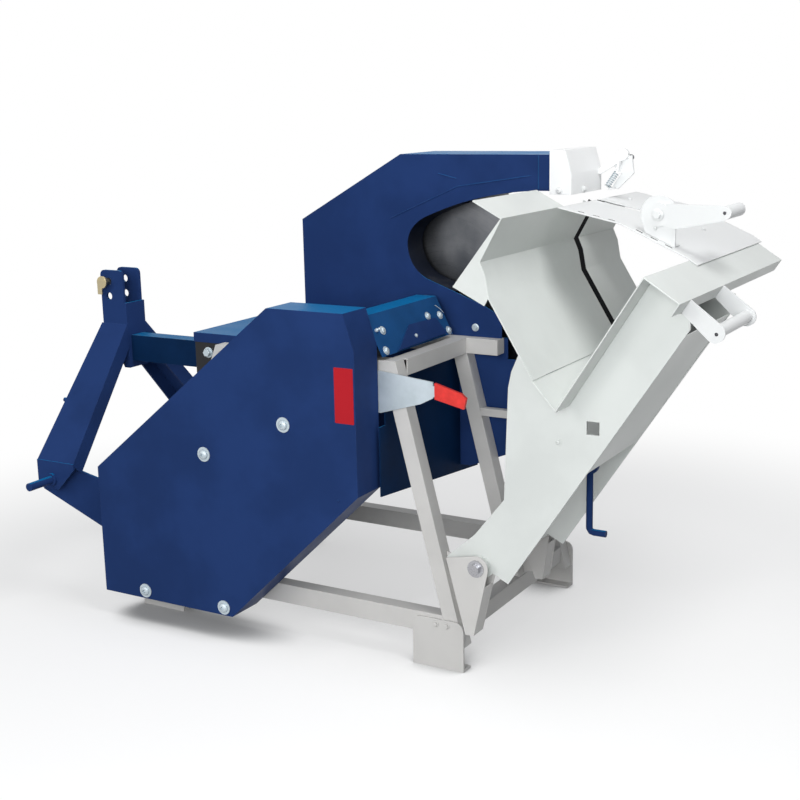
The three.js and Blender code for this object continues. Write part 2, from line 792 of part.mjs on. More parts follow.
function guardBackSheet() {
  const sheet = acrossY(outline(guardCorners), guardBack, guardBack + thinSheet);
  const bosses = guardBosses.map(([x, z]) => barY(x, z, guardBoss, guardBack, guardBossEnd, 20));
  const leverPin = barY(lever.x, lever.z, lever.pin, guardBack, guardBossEnd - seam, 20);
  return cut(join(sheet, ...bosses, leverPin),
    barY(saw.x, saw.z, hubRadius + seam * 2, guardFace, 0),
    barY(drive.x, drive.z, hubRadius + seam * 2, guardFace, 0));
}

function topCover() {
  const lid = acrossZ(box2(cover.left, cover.front, cover.right, cover.back),
    cover.top - cover.skirt, cover.top);
  const hollow = acrossZ(box2(cover.left + thinSheet, cover.front + thinSheet,
    cover.right - thinSheet, cover.back - thinSheet), 0, cover.top - thinSheet);
  const seat = acrossZ(box2(cover.left, cover.front + thinSheet, cover.right, cover.back),
    frameTop - overshoot * 2, frameTop + seam);
  return join(cut(lid, hollow, cut(seat)));
}

// Drive
function gearbox() {
  const shape = roundedBox(drive.x - gearboxHalf, drive.z - gearboxHalf, drive.x + gearboxHalf,
    drive.z + gearboxHalf, [gearboxCorner, gearboxCorner, gearboxCorner, gearboxCorner]);
  const block = acrossY(shape, gearboxFront, gearboxBack);
  const nose = roundBar("x", ptoCollar, drive.x - gearboxHalf - ptoCollarLength,
    drive.x - gearboxHalf + plate, { x: 0, y: ptoPlane, z: drive.z });
  const face = barY(drive.x, drive.z, ptoCollar, hanger.back + seam, gearboxFront + plate);
  const ptoBore = roundBar("x", ptoRadius + seam, drive.x - gearboxHalf - overshoot * 2,
    drive.x, { x: 0, y: ptoPlane, z: drive.z });
  const shaftBore = barY(drive.x, drive.z, driveShaftRadius + seam, gearboxFront - overshoot,
    ptoPlane - ptoCollar);
  return cut(join(block, nose, face), ptoBore, shaftBore);
}

function gearboxHanger() {
  const { front, back, left, right, top, low } = hanger;
  const sheet = acrossY(outline([[left, low], [right, low + plate * 5], [right, top],
    [left, top]]), front, back);
  const spacer = barY(hangerSpacer.x, hangerSpacer.z, hangerSpacer.radius,
    nearFace + tube + seam, back, 24);
  const hole = barY(drive.x, drive.z, driveShaftRadius + plate, front - overshoot,
    back + overshoot);
  return cut(join(sheet, spacer), hole);
}

function ptoShaft() {
  const inner = drive.x - seam;
  const outer = drive.x - gearboxHalf - ptoLength;
  const bar = roundBar("x", ptoRadius, outer, inner, { x: 0, y: ptoPlane, z: drive.z });
  const grooves = [];
  for (let i = 0; i < splineTeeth; i += 1) {
    const turn = (i / splineTeeth) * Math.PI * 2;
    grooves.push(roundBar("x", splineDepth, outer - overshoot,
      drive.x - gearboxHalf - ptoCollarLength - plate, {
        x: 0,
        y: ptoPlane + ptoRadius * Math.cos(turn),
        z: drive.z + ptoRadius * Math.sin(turn),
      }, 10));
  }
  return cut(bar, ...grooves);
}

function pulleyRim(radius, width, from, centre) {
  const land = (width - beltWidth) / 2;
  const floor = radius - beltThickness;
  return turned([[0, from], [radius, from], [radius, from + land],
    [floor, from + land + plate / 2], [floor, from + width - land - plate / 2],
    [radius, from + width - land], [radius, from + width], [0, from + width]],
  "y", { x: centre.x, y: 0, z: centre.z });
}

function drivePulley() {
  const rim = pulleyRim(largePulley, pulleyWidth, pulleyFront, drive);
  const shaft = barY(drive.x, drive.z, driveShaftRadius, pulleyFront - plate,
    ptoPlane - ptoCollar - seam);
  const hub = barY(drive.x, drive.z, hubRadius, pulleyFront, pulleyFront + pulleyWidth + plate * 2);
  const windows = [];
  const count = 5;
  const reach = (largePulley - beltThickness + hubRadius) / 2;
  for (let i = 0; i < count; i += 1) {
    const turn = (i / count) * Math.PI * 2;
    windows.push(barY(drive.x + reach * Math.cos(turn), drive.z + reach * Math.sin(turn),
      (largePulley - beltThickness - hubRadius) / 3, pulleyFront - overshoot,
      pulleyFront + overshoot * 3, 20));
  }
  return join(cut(rim, ...windows), hub, shaft);
}

function sawPulley() {
  const rim = pulleyRim(smallPulley, pulleyWidth, pulleyFront, saw);
  return cut(rim, barY(saw.x, saw.z, arborRadius + seam, pulleyFront - overshoot,
    pulleyFront + overshoot * 3));
}

function beltLoop(radiusA, radiusB) {
  const run = Math.hypot(saw.x - drive.x, saw.z - drive.z);
  const heading = Math.atan2(saw.z - drive.z, saw.x - drive.x);
  const wrap = Math.acos((radiusA - radiusB) / run);
  const points = [];
  const arc = (centre, radius, from, to) => {
    for (let i = 0; i <= arcSteps; i += 1) {
      const turn = from + (to - from) * (i / arcSteps);
      points.push([centre.x + radius * Math.cos(turn), centre.z + radius * Math.sin(turn)]);
    }
  };
  arc(drive, radiusA, heading + wrap, heading + Math.PI * 2 - wrap);
  arc(saw, radiusB, heading - wrap, heading + wrap);
  return outline(points);
}

function driveBelt() {
  const from = pulleyFront + (pulleyWidth - beltWidth) / 2 + plate / 2 + seam;
  const to = pulleyFront + pulleyWidth - (pulleyWidth - beltWidth) / 2 - plate / 2 - seam;
  const lift = beltThickness - beltRide;
  return cut(acrossY(beltLoop(largePulley, smallPulley), from, to),
    acrossY(beltLoop(largePulley - lift, smallPulley - lift), from - overshoot, to + overshoot));
}

function arbor() {
  const bar = barY(saw.x, saw.z, arborRadius, pulleyFront - plate, bladePlane - bladeThickness / 2
    - flangeThickness);
  const stub = barY(saw.x, saw.z, bladeBore - seam, pulleyFront, arborEnd);
  const collar = barY(saw.x, saw.z, flangeRadius, bladePlane - bladeThickness / 2
    - flangeThickness, bladePlane - bladeThickness / 2 - seam);
  return join(bar, stub, collar);
}

function bearingHousing(plane) {
  const from = plane - bearingWidth / 2;
  const to = plane + bearingWidth / 2;
  const ring = barY(saw.x, saw.z, bearingRadius, from, to);
  const foot0 = frameTop + seam;
  const half = bearingBaseWidth / 2;
  const base = acrossY(outline([[saw.x - half * 0.72, foot0], [saw.x + half * 0.9, foot0],
    [saw.x + half * 0.9, foot0 + overshoot], [saw.x + bearingRadius * 0.9, saw.z],
    [saw.x - bearingRadius * 0.9, saw.z], [saw.x - half * 0.72, foot0 + overshoot]]), from, to);
  return cut(join(ring, base), barY(saw.x, saw.z, arborRadius + seam, from - overshoot,
    to + overshoot));
}

function sawBlade() {
  const points = [];
  for (let i = 0; i < bladeTeeth; i += 1) {
    const pitch = (Math.PI * 2) / bladeTeeth;
    const turn = i * pitch;
    const at = (radius, share) => {
      const place = turn + pitch * share;
      points.push([saw.x + radius * Math.cos(place), saw.z + radius * Math.sin(place)]);
    };
    at(bladeRadius, 0);
    at(bladeRadius - gulletDepth, 0.12);
    at(bladeRadius - gulletDepth * 0.9, 0.42);
    at(bladeRadius - gulletDepth * 0.2, 0.8);
  }
  const disc = acrossY(outline(points), bladePlane - bladeThickness / 2,
    bladePlane + bladeThickness / 2);
  return cut(disc, barY(saw.x, saw.z, bladeBore, bladePlane - overshoot, bladePlane + overshoot));
}

function bladeClamp() {
  const from = bladePlane + bladeThickness / 2 + seam;
  const disc = barY(saw.x, saw.z, flangeRadius, from, from + flangeThickness);
  const nut = barY(saw.x, saw.z, nutRadius, from, from + flangeThickness + nutThickness, 6);
  return cut(join(disc, nut), barY(saw.x, saw.z, bladeBore, from - overshoot,
    from + overshoot * 3));
}

// Hitch, drawn for the near side; the far side is its mirror about the hitch's centre
function mirrored(body) {
  return body.mirror([0, 1, 0]).translate([0, hitchCentre * 2, 0]);
}

function headstock() {
  const { left, right, low, top, thickness, corner } = ear;
  const holes = earHoles.map(([x, z]) => barY(x, z, earHoleRadius, hitchCentre - overshoot * 10,
    hitchCentre + overshoot * 10, 24));
  const side = acrossY(roundedBox(left, tie.low, right, top, [0, corner, corner, 0]),
    hitchCentre - earFace, hitchCentre - earFace + thickness);
  const gusset = acrossY(outline([[left, tie.low - overshoot], [right, tie.low - overshoot],
    [left, low]]), hitchCentre - earFace - overshoot, hitchCentre);
  const back = acrossX(outline([[hitchCentre - earFace, tie.low], [hitchCentre + earFace, tie.low],
    [hitchCentre + earFace, tie.top], [hitchCentre - earFace, tie.top]]),
  right - seam, right - seam + tie.thickness);
  const trimmed = cut(side, gusset);
  return cut(join(trimmed, mirrored(trimmed), back), ...holes);
}

function hitchLegBody() {
  const topY = hitchCentre - hitchLeg.topOut;
  const kneeY = hitchCentre - hitchLeg.kneeOut;
  const start = new THREE.Vector3(0, topY, hitchLeg.top);
  const knee = new THREE.Vector3(0, kneeY, hitchLeg.knee);
  const run = knee.clone().sub(start);
  const length = run.length();
  const down = run.normalize();
  const left = new THREE.Vector3(1, 0, 0);
  const shape = (inset, extra) => outline([[hitchLegLeft + inset, -extra],
    [hitchLegLeft + hitchLegTopWidth - inset, -extra],
    [hitchLegLeft + hitchLegKneeWidth - inset, length + extra],
    [hitchLegLeft + inset, length + extra]]);
  const outer = inFrame(shape(0, 0), hitchFlange, start, left, down);
  const inward = left.clone().cross(down);
  const innerStart = start.clone().addScaledVector(inward, plate);
  const channel = cut(outer, inFrame(shape(plate, overshoot), hitchFlange, innerStart, left, down));
  const shoe = acrossY(outline([[hitchLegLeft, hitchLeg.bottom],
    [hitchLegLeft + hitchShoe.foot, hitchLeg.bottom],
    [hitchLegLeft + hitchLegKneeWidth, hitchLeg.knee - hitchShoe.side],
    [hitchLegLeft + hitchLegKneeWidth, hitchLeg.knee + plate / 2],
    [hitchLegLeft, hitchLeg.knee + plate / 2]]), kneeY, kneeY + plate);
  const pinCentre = { x: lowerPin.x, y: 0, z: lowerPin.z };
  const pin = roundBar("y", lowerPin.radius, kneeY - lowerPin.length, kneeY + plate / 2,
    pinCentre);
  const collar = roundBar("y", lowerPin.collar, kneeY - lowerPin.collarLength, kneeY + plate / 2,
    pinCentre);
  const headroom = acrossY(box2(hitchLegLeft - overshoot, hitchLeg.bottom - overshoot,
    hitchLegLeft + hitchLegKneeWidth + overshoot, hitchLeg.top + overshoot),
  hitchCentre - earFace - seam, hitchCentre);
  return join(cut(channel, headroom), shoe, pin, collar);
}

function braceBody(plan, thickness) {
  const band = acrossZ(folded(plan, thickness), legFootHeight, hitchLeg.knee + overshoot);
  const heights = acrossY(outline(braceCorners), nearFace * 2, farFace * 2);
  return band.intersect(heights);
}

function hitchStrut() {
  const from = ear.right - seam + tie.thickness + seam;
  const half = strut.width / 2;
  const shape = outline([[hitchCentre - half, strut.low], [hitchCentre + half, strut.low],
    [hitchCentre + half, strut.low + strut.height],
    [hitchCentre - half, strut.low + strut.height]]);
  const bore = outline([[hitchCentre - half + tubeWall, strut.low + tubeWall],
    [hitchCentre + half - tubeWall, strut.low + tubeWall],
    [hitchCentre + half - tubeWall, strut.low + strut.height - tubeWall],
    [hitchCentre - half + tubeWall, strut.low + strut.height - tubeWall]]);
  return cut(acrossX(shape, from, leftTopRail - seam),
    acrossX(bore, from - overshoot, leftTopRail + overshoot));
}

function linchPin() {
  const hole = earHoles[1];
  const outer = hitchCentre - earFace - linch.length / 2;
  const pin = barY(hole[0], hole[1], linch.radius, outer, outer + linch.length, 24);
  const head = barY(hole[0], hole[1], linch.ring, outer - plate, outer, 24);
  const lug = acrossY(box2(hole[0] - linch.lugWidth, hole[1] - linch.lugDrop,
    hole[0], hole[1]), outer - plate, outer - plate + linch.wire);
  return join(pin, head, lug);
}

// Belt-tension lever
function tensionLever() {
  const bladePart = acrossY(outline(leverBlade), lever.front, lever.front + lever.thickness);
  const eye = acrossY(circle(lever.x, lever.z, lever.eye), lever.front,
    lever.front + lever.thickness);
  const tang = acrossY(outline(leverTang), lever.front, lever.front + lever.thickness);
  const bore = barY(lever.x, lever.z, lever.pin + seam, guardFace, 0);
  return cut(join(bladePart, eye, tang), bore);
}

function tensionGrip() {
  const sleeve = acrossY(outline(leverGrip), lever.front - leverGripWall,
    lever.front + lever.thickness + seam);
  const room = setOff([...leverTang, leverTang[0], leverTang[1]], seam)
    .slice(1, leverTang.length + 1);
  return cut(sleeve, acrossY(outline(room), lever.front - seam,
    lever.front + lever.thickness + overshoot));
}

// Cradle
const troughFold = [lipEdge, flangeEdge, troughRim, troughVertex, troughFoot];
const wallFoldLine = [troughFoot, wallKnee, wallLedge, wallFold, ridge];

function towards(from, to, distance) {
  const run = Math.hypot(to[0] - from[0], to[1] - from[1]);
  return [from[0] + ((to[0] - from[0]) / run) * distance,
    from[1] + ((to[1] - from[1]) / run) * distance];
}

function bladeSlot() {
  return acrossY(box2(roofEdge[0] - overshoot * 4, troughVertex[1], slotRight,
    ridge[1] + overshoot * 2), bladePlane - slotHalf, bladePlane + slotHalf);
}

function troughSheet() {
  return cut(acrossY(folded(troughFold, thinSheet), nearEnd, farEnd), bladeSlot());
}

function wallLine() {
  const start = towards(troughFoot, wallKnee, seam);
  return [start, ...wallFoldLine.slice(1)];
}

function coverFlange() {
  return towards(ridge, coverBend, overshoot);
}

// A return flange along one edge of the blade slot, folded back from the wall's face
function slotReturn(from, to) {
  const line = [...wallLine().slice(0, -1), towards(ridge, wallFold, slotFlange / 2)];
  return acrossY(folded(setOff(line, -thinSheet), slotFlange + thinSheet), from, to);
}

function nearWall() {
  const end = bladePlane - slotHalf;
  const plain = acrossY(folded(wallLine(), -thinSheet), nearEnd, end);
  const flanged = acrossY(folded([...wallLine(), coverFlange()], -thinSheet), roofEnd, end);
  const roof = acrossY(folded([wallFold, ridge, roofEdge], -thinSheet), nearEnd, roofEnd);
  const rooted = setOff(wallFoldLine, -thinSheet / 2);
  const wing = acrossY(outline([rooted[4], ridge, wingTip, wingFoot, wallKnee, rooted[1],
    rooted[2], rooted[3]]), nearEnd, nearEnd + thinSheet);
  return join(plain, flanged, roof, wing, slotReturn(end - thinSheet, end));
}

function farWall() {
  const start = bladePlane + slotHalf;
  return join(acrossY(folded([...wallLine(), coverFlange()], -thinSheet), start, farEnd),
    slotReturn(start, start + thinSheet));
}

function coverSheet() {
  const line = [towards(ridge, coverBend, coverInset), coverBend, coverRim, coverEdge];
  const lifted = setOff(line, seam);
  const sheet = acrossY(folded(lifted, thinSheet), coverFront, farEnd + overshoot);
  const slot = acrossY(box2(ridge[0] - overshoot, coverRim[1], ridge[0] + coverSlotLength,
    ridge[1] + overshoot * 2), bladePlane - slotHalf, bladePlane + slotHalf);
  const vents = [];
  [[ridge, coverBend, ventStart.left], [coverBend, coverRim, ventStart.right]]
    .forEach(([from, to, start]) => {
      for (let i = 0; i < coverSlotsPerPanel; i += 1) {
        const [x, z] = towards(from, to, start + i * ventPitch);
        vents.push(acrossY(box2(x - ventLength / 2, z - overshoot, x + ventLength / 2,
          z + overshoot), coverFront + ventInset, coverFront + ventInset + ventWidth));
      }
    });
  return cut(sheet, slot, ...vents);
}

function armPlate(from, to) {
  const body = join(acrossY(outline(armCorners), from, to),
    acrossY(circle(pivot.x, pivot.z, armEye), from, to));
  const line = [towards(lipEdge, flangeEdge, -plate), ...troughFold.slice(1),
    ...wallFoldLine.slice(1)];
  const under = setOff(line, thinSheet + seam);
  const above = outline([...under, [wallFold[0], ridge[1] + overshoot * 2],
    [flangeEdge[0] + overshoot * 5, ridge[1] + overshoot * 2],
    [flangeEdge[0] + overshoot * 5, lipEdge[1] - overshoot / 2]]);
  const hole = acrossY(box2(squareHole.x - squareHole.half, squareHole.z - squareHole.half,
    squareHole.x + squareHole.half, squareHole.z + squareHole.half), from - overshoot,
  to + overshoot);
  return cut(body, acrossY(above, from - overshoot, to + overshoot), hole);
}

function cradleArms() {
  const bore = barY(pivot.x, pivot.z, axleRadius + seam, armNear.from - overshoot * 2,
    armFar.to + overshoot * 2);
  const nearBush = barY(pivot.x, pivot.z, hingeTubeRadius, clevisFront.near + thinSheet + seam,
    clevisFront.near + clevisGap - seam);
  const farBush = barY(pivot.x, pivot.z, hingeTubeRadius, armFar.from, clevisFront.far - seam);
  const bar = barY(rodBar.x, rodBar.z, rodBar.radius, armNear.from, armFar.to, 24);
  return cut(join(armPlate(armNear.from, armNear.to), armPlate(armFar.from, armFar.to),
    nearBush, farBush, bar), bore);
}

function backSheet() {
  const line = [backSheetStart, backSheetEnd];
  const set = setOff(line, backSheetDrop - thinSheet);
  return acrossY(folded(set, thinSheet), armNear.to + seam, armFar.from - seam);
}

function loopHandle() {
  const lipWay = [(lipEdge[0] - flangeEdge[0]), (lipEdge[1] - flangeEdge[1])];
  const run = Math.hypot(...lipWay);
  const out = [-lipWay[1] / run, lipWay[0] / run];
  const off = ([x, z]) => [x - out[0] * -seam, z - out[1] * -seam];
  const { x, z, radius, eye, near, far } = loopGrip;
  const earShape = outline([off(flangeEdge), off(lipEdge), [x - eye * 0.7, z - eye * 0.72],
    [x + eye * 0.7, z + eye * 0.72]]);
  const earAt = (from) => join(acrossY(earShape, from, from + loopEar),
    acrossY(circle(x, z, eye), from, from + loopEar));
  const bar = join(earAt(near), earAt(far - loopEar), barY(x, z, radius, near, far, 28));
  return cut(bar, barY(x, z, radius - thinSheet, near + loopEar, far + overshoot, 28));
}

function hangingRod() {
  const { radius, eye, clearance, y, width, low, foot: reach, bend } = rod;
  const ring = barY(rodBar.x, rodBar.z, eye, y - width / 2, y + width / 2, 28);
  const path = new THREE.CurvePath();
  const top = new THREE.Vector3(rodBar.x, y, rodBar.z - eye + radius / 2);
  const turn = new THREE.Vector3(rodBar.x, y, low + bend);
  const corner = new THREE.Vector3(rodBar.x, y, low);
  const off = new THREE.Vector3(rodBar.x + bend, y, low);
  const end = new THREE.Vector3(rodBar.x + reach, y, low);
  path.add(new THREE.LineCurve3(top, turn));
  path.add(new THREE.QuadraticBezierCurve3(turn, corner, off));
  path.add(new THREE.LineCurve3(off, end));
  const shape = circle(0, 0, radius, 16);
  const geometry = new THREE.ExtrudeGeometry(shape, { steps: 24, extrudePath: path });
  const bore = barY(rodBar.x, rodBar.z, rodBar.radius + clearance, y - width, y + width, 28);
  return cut(join(ring, solid(geometry)), bore);
}

function holdLever() {
  const { front, thickness } = hold;
  const body = acrossY(outline(holdArm), front, front + thickness);
  const hub = acrossY(circle(hold.x, hold.z, holdHub), front, front + thickness);
  const eye = acrossY(circle(holdEnd.x, holdEnd.z, holdEnd.eye), front, front + thickness);
  const spindle = barY(holdEnd.x, holdEnd.z, holdGrip.rod, front,
    front + thickness + seam + holdGrip.length + thinSheet, 24);
  const bore = barY(hold.x, hold.z, hold.pin + seam, front - overshoot, front + overshoot);
  return cut(join(body, hub, eye, spindle), bore);
}

function holdLeverGrip() {
  const from = hold.front + hold.thickness + seam;
  return cut(barY(holdEnd.x, holdEnd.z, holdGrip.radius, from, from + holdGrip.length, 28),
    barY(holdEnd.x, holdEnd.z, holdGrip.rod + seam, from - overshoot,
      from + holdGrip.length + overshoot, 28));
}

function coverTop(x) {
  const [from, to] = x < coverBend[0] ? [ridge, coverBend] : [coverBend, coverRim];
  const share = (x - from[0]) / (to[0] - from[0]);
  return from[1] + (to[1] - from[1]) * share;
}

function holdStandBody() {
  const { front, thickness, leftFoot, rightFoot, footDepth: depth } = holdStand;
  const [footLeft, footRight] = [hold.x - leftFoot, hold.x + rightFoot];
  const line = [[footLeft, coverTop(footLeft)], [footRight, coverTop(footRight)]];
  const seat = setOff(line, thinSheet + seam * 2);
  const base = acrossY(folded(seat, thinSheet), front, front + depth);
  const upright = acrossY(outline([seat[0], seat[1], [hold.x + hold.disc * 0.95, hold.z],
    [hold.x - hold.disc * 0.95, hold.z]]), front, front + thickness);
  const disc = acrossY(circle(hold.x, hold.z, hold.disc), front, front + thickness);
  const pin = barY(hold.x, hold.z, hold.pin, hold.front - thinSheet, front + thickness, 24);
  return join(base, upright, disc, pin);
}

// Assembly
function build() {
  const farFrameFace = farFace - tube;
  piece("foot_near_right", foot(rightFootLeft, nearFace, 1), looks.framePaint);
  piece("foot_near_left", foot(leftFootLeft, nearFace, 1), looks.framePaint);
  piece("foot_far_right", foot(rightFootLeft, farFace, -1), looks.framePaint);
  piece("foot_far_left", foot(leftFootLeft, farFace, -1), looks.framePaint);
  piece("side_frame_near", sideFrame(nearFace, nearRailLow, leftLegEdge(frameTop)),
    looks.framePaint);
  piece("side_frame_far", sideFrame(farFrameFace, farRailLow, farTopRailLeft), looks.framePaint);
  const railFrom = nearFace + tube + seam;
  piece("cross_rail_right", squareTubeY(crossRailLeft, crossRailLow, tube, crossRailHeight,
    railFrom, farFrameFace - seam), looks.framePaint);
  piece("cross_rail_left", squareTubeY(leftCrossRail, crossRailLow, tube, crossRailHeight,
    railFrom, farFrameFace - seam), looks.framePaint);
  piece("top_rail_right", squareTubeY(topRailLeft, frameTop - tube, tube, tube, railFrom,
    centreFace - seam), looks.framePaint);
  piece("top_rail_left", squareTubeY(leftTopRail, frameTop - tube, tube, tube, leftTopRailStart,
    farFrameFace - seam), looks.framePaint);
  piece("centre_frame", centreFrame(), looks.framePaint);
  piece("swing_buffer", swingBuffer(), looks.rubber);
  piece("pivot_clevis_near", pivotClevis(clevisFront.near, clevisTip.near), looks.framePaint);
  piece("pivot_clevis_far", pivotClevis(clevisFront.far, clevisTip.far), looks.framePaint);
  piece("pivot_axle", pivotAxle(), looks.zinc);
  piece("hood_front", hoodFront(), looks.bluePaint);
  piece("hood_shell", hoodShell(), looks.bluePaint);
  piece("throat_return", throatReturn(), looks.bluePaint);
  piece("end_box", endBoxBody(), looks.whitePaint);
  piece("lower_casing", lowerCasing(), looks.bluePaint);
  piece("splash_sheet", acrossX(outline(splashCorners), splashPlane, splashPlane + thinSheet),
    looks.bluePaint);
  piece("bearing_console", bearingConsole(), looks.bluePaint);
  piece("belt_guard", guardCover(), looks.bluePaint);
  piece("belt_guard_back", guardBackSheet(), looks.bluePaint);
  piece("top_cover", topCover(), looks.bluePaint);
  piece("headstock", headstock(), looks.bluePaint);
  piece("hitch_leg_near", hitchLegBody(), looks.bluePaint);
  piece("hitch_leg_far", mirrored(hitchLegBody()), looks.bluePaint);
  piece("hitch_strut", hitchStrut(), looks.bluePaint);
  piece("hitch_brace_near", braceBody(bracePlan.near, plate), looks.bluePaint);
  piece("hitch_brace_far", braceBody(bracePlan.far, plate), looks.bluePaint);
  piece("linch_pin", linchPin(), looks.zinc);
  piece("gearbox_hanger", gearboxHanger(), looks.blackPaint);
  piece("gearbox", gearbox(), looks.castIron);
  piece("pto_shaft", ptoShaft(), looks.steel);
  piece("drive_pulley", drivePulley(), looks.castIron);
  piece("drive_belt", driveBelt(), looks.rubber);
  piece("saw_pulley", sawPulley(), looks.castIron);
  piece("saw_arbor", arbor(), looks.steel);
  piece("bearing_near", bearingHousing(bearingPlanes.near), looks.castIron);
  piece("bearing_far", bearingHousing(bearingPlanes.far), looks.castIron);
  piece("saw_blade", sawBlade(), looks.steel);
  piece("blade_clamp", bladeClamp(), looks.steel);
  piece("tension_lever", tensionLever(), looks.zinc);
  piece("tension_grip", tensionGrip(), looks.redGrip);
  piece("cradle_arms", cradleArms(), looks.cradlePaint);
  piece("cradle_back_sheet", backSheet(), looks.cradlePaint);
  piece("cradle_trough", troughSheet(), looks.cradlePaint);
  piece("blade_wall_near", nearWall(), looks.cradlePaint);
  piece("blade_wall_far", farWall(), looks.cradlePaint);
  piece("cover_sheet", coverSheet(), looks.whitePaint);
  piece("loop_handle", loopHandle(), looks.whitePaint);
  piece("locking_rod", hangingRod(), looks.bluePaint);
  piece("hold_lever", holdLever(), looks.whitePaint);
  piece("hold_grip", holdLeverGrip(), looks.whitePaint);
  piece("hold_stand", holdStandBody(), looks.whitePaint);
  piece("latch", latchBody(), looks.whitePaint);
  piece("latch_spring", latchSpring(), looks.zinc);
}

build();
const bounds = new THREE.Box3().setFromObject(group);
const middle = bounds.getCenter(new THREE.Vector3());
group.children.forEach((part) => {
  part.geometry.translate(-middle.x, -middle.y, -bounds.min.z);
});

export default group;
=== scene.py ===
"""Looks of a firewood circular saw with a tilting log cradle.

Laid out as a Blender add-on and run as a script: one operator finishes or builds each group of
pieces, and main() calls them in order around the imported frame.
"""

import json
import math

import bpy
import numpy as np
from bpy.props import FloatProperty, FloatVectorProperty, PointerProperty
from mathutils import Matrix, Vector


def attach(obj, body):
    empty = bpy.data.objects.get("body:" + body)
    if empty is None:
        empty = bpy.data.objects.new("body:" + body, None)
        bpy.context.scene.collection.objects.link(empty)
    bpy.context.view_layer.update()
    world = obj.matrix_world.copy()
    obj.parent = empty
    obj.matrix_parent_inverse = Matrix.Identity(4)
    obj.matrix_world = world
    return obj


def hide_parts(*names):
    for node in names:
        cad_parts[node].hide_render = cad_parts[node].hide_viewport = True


bl_info = {
    "name": "Firewood saw looks",
    "version": (1, 0, 0),
    "blender": (4, 5, 0),
    "location": "View3D > Sidebar > Firewood saw",
    "description": "Finishes a packed firewood circular saw and adds its small trim",
    "category": "Object",
}

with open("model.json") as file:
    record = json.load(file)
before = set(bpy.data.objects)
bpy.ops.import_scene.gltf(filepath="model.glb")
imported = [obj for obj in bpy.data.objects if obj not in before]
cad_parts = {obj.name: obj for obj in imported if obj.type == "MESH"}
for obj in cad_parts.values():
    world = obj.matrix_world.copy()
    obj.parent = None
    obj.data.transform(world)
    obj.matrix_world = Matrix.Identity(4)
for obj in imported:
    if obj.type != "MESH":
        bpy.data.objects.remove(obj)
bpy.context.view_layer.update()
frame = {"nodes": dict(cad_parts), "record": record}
NODES = frame["nodes"]

MM = 0.001
# The drafting frame of the sizes below, in millimetres, moved onto the row frame
DRAFT_SHIFT = np.array([-208.5, 61.5, 0.0])

# Directions that trim faces
NEAR, FAR, LEFT, RIGHT, UP = (0, -1, 0), (0, 1, 0), (-1, 0, 0), (1, 0, 0), (0, 0, 1)

# Axes of the cradle's pivot, the blade and the drive shaft, as (x, z), and the blade's plane
PIVOT = (563.0, 278.0)
SAW = (223.0, 812.0)
DRIVE = (-270.0, 330.0)
BLADE_MIDDLE = 143.0

# Rounded edges, the angles from which an edge is rounded or kept as a crease, and the reach
# within which corners are merged
SHEET_BEVEL = 0.9
TUBE_BEVEL = 2.2
BEVEL_ANGLE = math.radians(28.0)
CREASE_ANGLE = math.radians(50.0)
TRIM_CREASE_ANGLE = math.radians(38.0)
MERGE_REACH = 0.02

# Slots whose side faces are painted black as shade, from near to far
WALL_SLOT = (126.5, 159.5)
COVER_SLOTS = (-88.5, -79.5)

# Hexagon heads: width across flats, height, washer radius and thickness
HOOD_HEX = (13, 6, 10, 1.8)
LATCH_HEX = (13, 5, 9, 1.5)
GEARBOX_HEX = (13, 6, 9, 1.5)
PLUG_HEX = (22, 9, 14, 2)
FOOT_HEX = (10, 5, 8, 1.5)
HANGER_HEX = (19, 10, 14, 2.5)
HOLD_HEX = (17, 7, 14, 1.8)

# Button heads: head radius, height, washer radius and thickness
GUARD_BUTTON = (12.5, 7.5, 19.0, 2.6)
CONSOLE_BUTTON = (7.5, 5.5, 11.0, 1.8)
PLATE_BUTTON = (4.2, 3.2, 5.4, 0.8)
END_BUTTON = (6.5, 4.5, 9.5, 1.6)
ARM_BUTTON = (6.0, 4.0, 9.0, 1.4)
BEARING_BUTTON = (4.5, 3.5, 6.5, 1.0)
COVER_BUTTON = (4.5, 3.5, 7.0, 1.0)
SMALL_BUTTON = (3.0, 1.7, 3.8, 0.5)

# Turned trim: rows of (radius, place along the axis)
RIVET_PROFILE = [(3.4, 0), (3.4, 1.2), (2.4, 1.9)]
NIPPLE_PROFILE = [(4.5, 0), (4.5, 5), (2.4, 8), (3.4, 11), (1.8, 14)]
ROLLER_PROFILE = [(5.5, 0), (7.5, 0.8), (7.5, 7.4), (5.5, 8.2)]
PEG_PROFILE = [(6.0, -1), (6.0, 12.5), (4.6, 14.0)]

# Belt guard: its face, and bolts, plain plate and rivet on it as (x, z)
GUARD_FACE = -432.0
GUARD_BOLTS = [(-149, 490), (96, 591.5), (-369, 91.5), (-111, 91)]
GUARD_PLATE = ((244, 612), (296, 744))
GUARD_PLATE_DEPTHS = (0.7, 0.02)
GUARD_PLATE_CORNER = 2.5
GUARD_RIVET = (245, 422)

# Hood: its face, pressed creases, a painted highlight bead on its edge, flange bolts as (x, z)
HOOD_FACE = 50.0
HOOD_CREASES = [[(117, 1039), (318, 1125), (523, 1154)], [(262, 1157), (317, 1144)]]
HOOD_CREASE_RADIUS = 1.5
HOOD_CREASE_END_RADIUS = 0.5
HOOD_HIGHLIGHT = ((541, 1122), (541, 1203))
HOOD_HIGHLIGHT_DEPTH = 1.4
HOOD_HIGHLIGHT_RADIUS = 1.3
HOOD_BOLTS = [(366, 769), (-120, 765), (60, 769)]

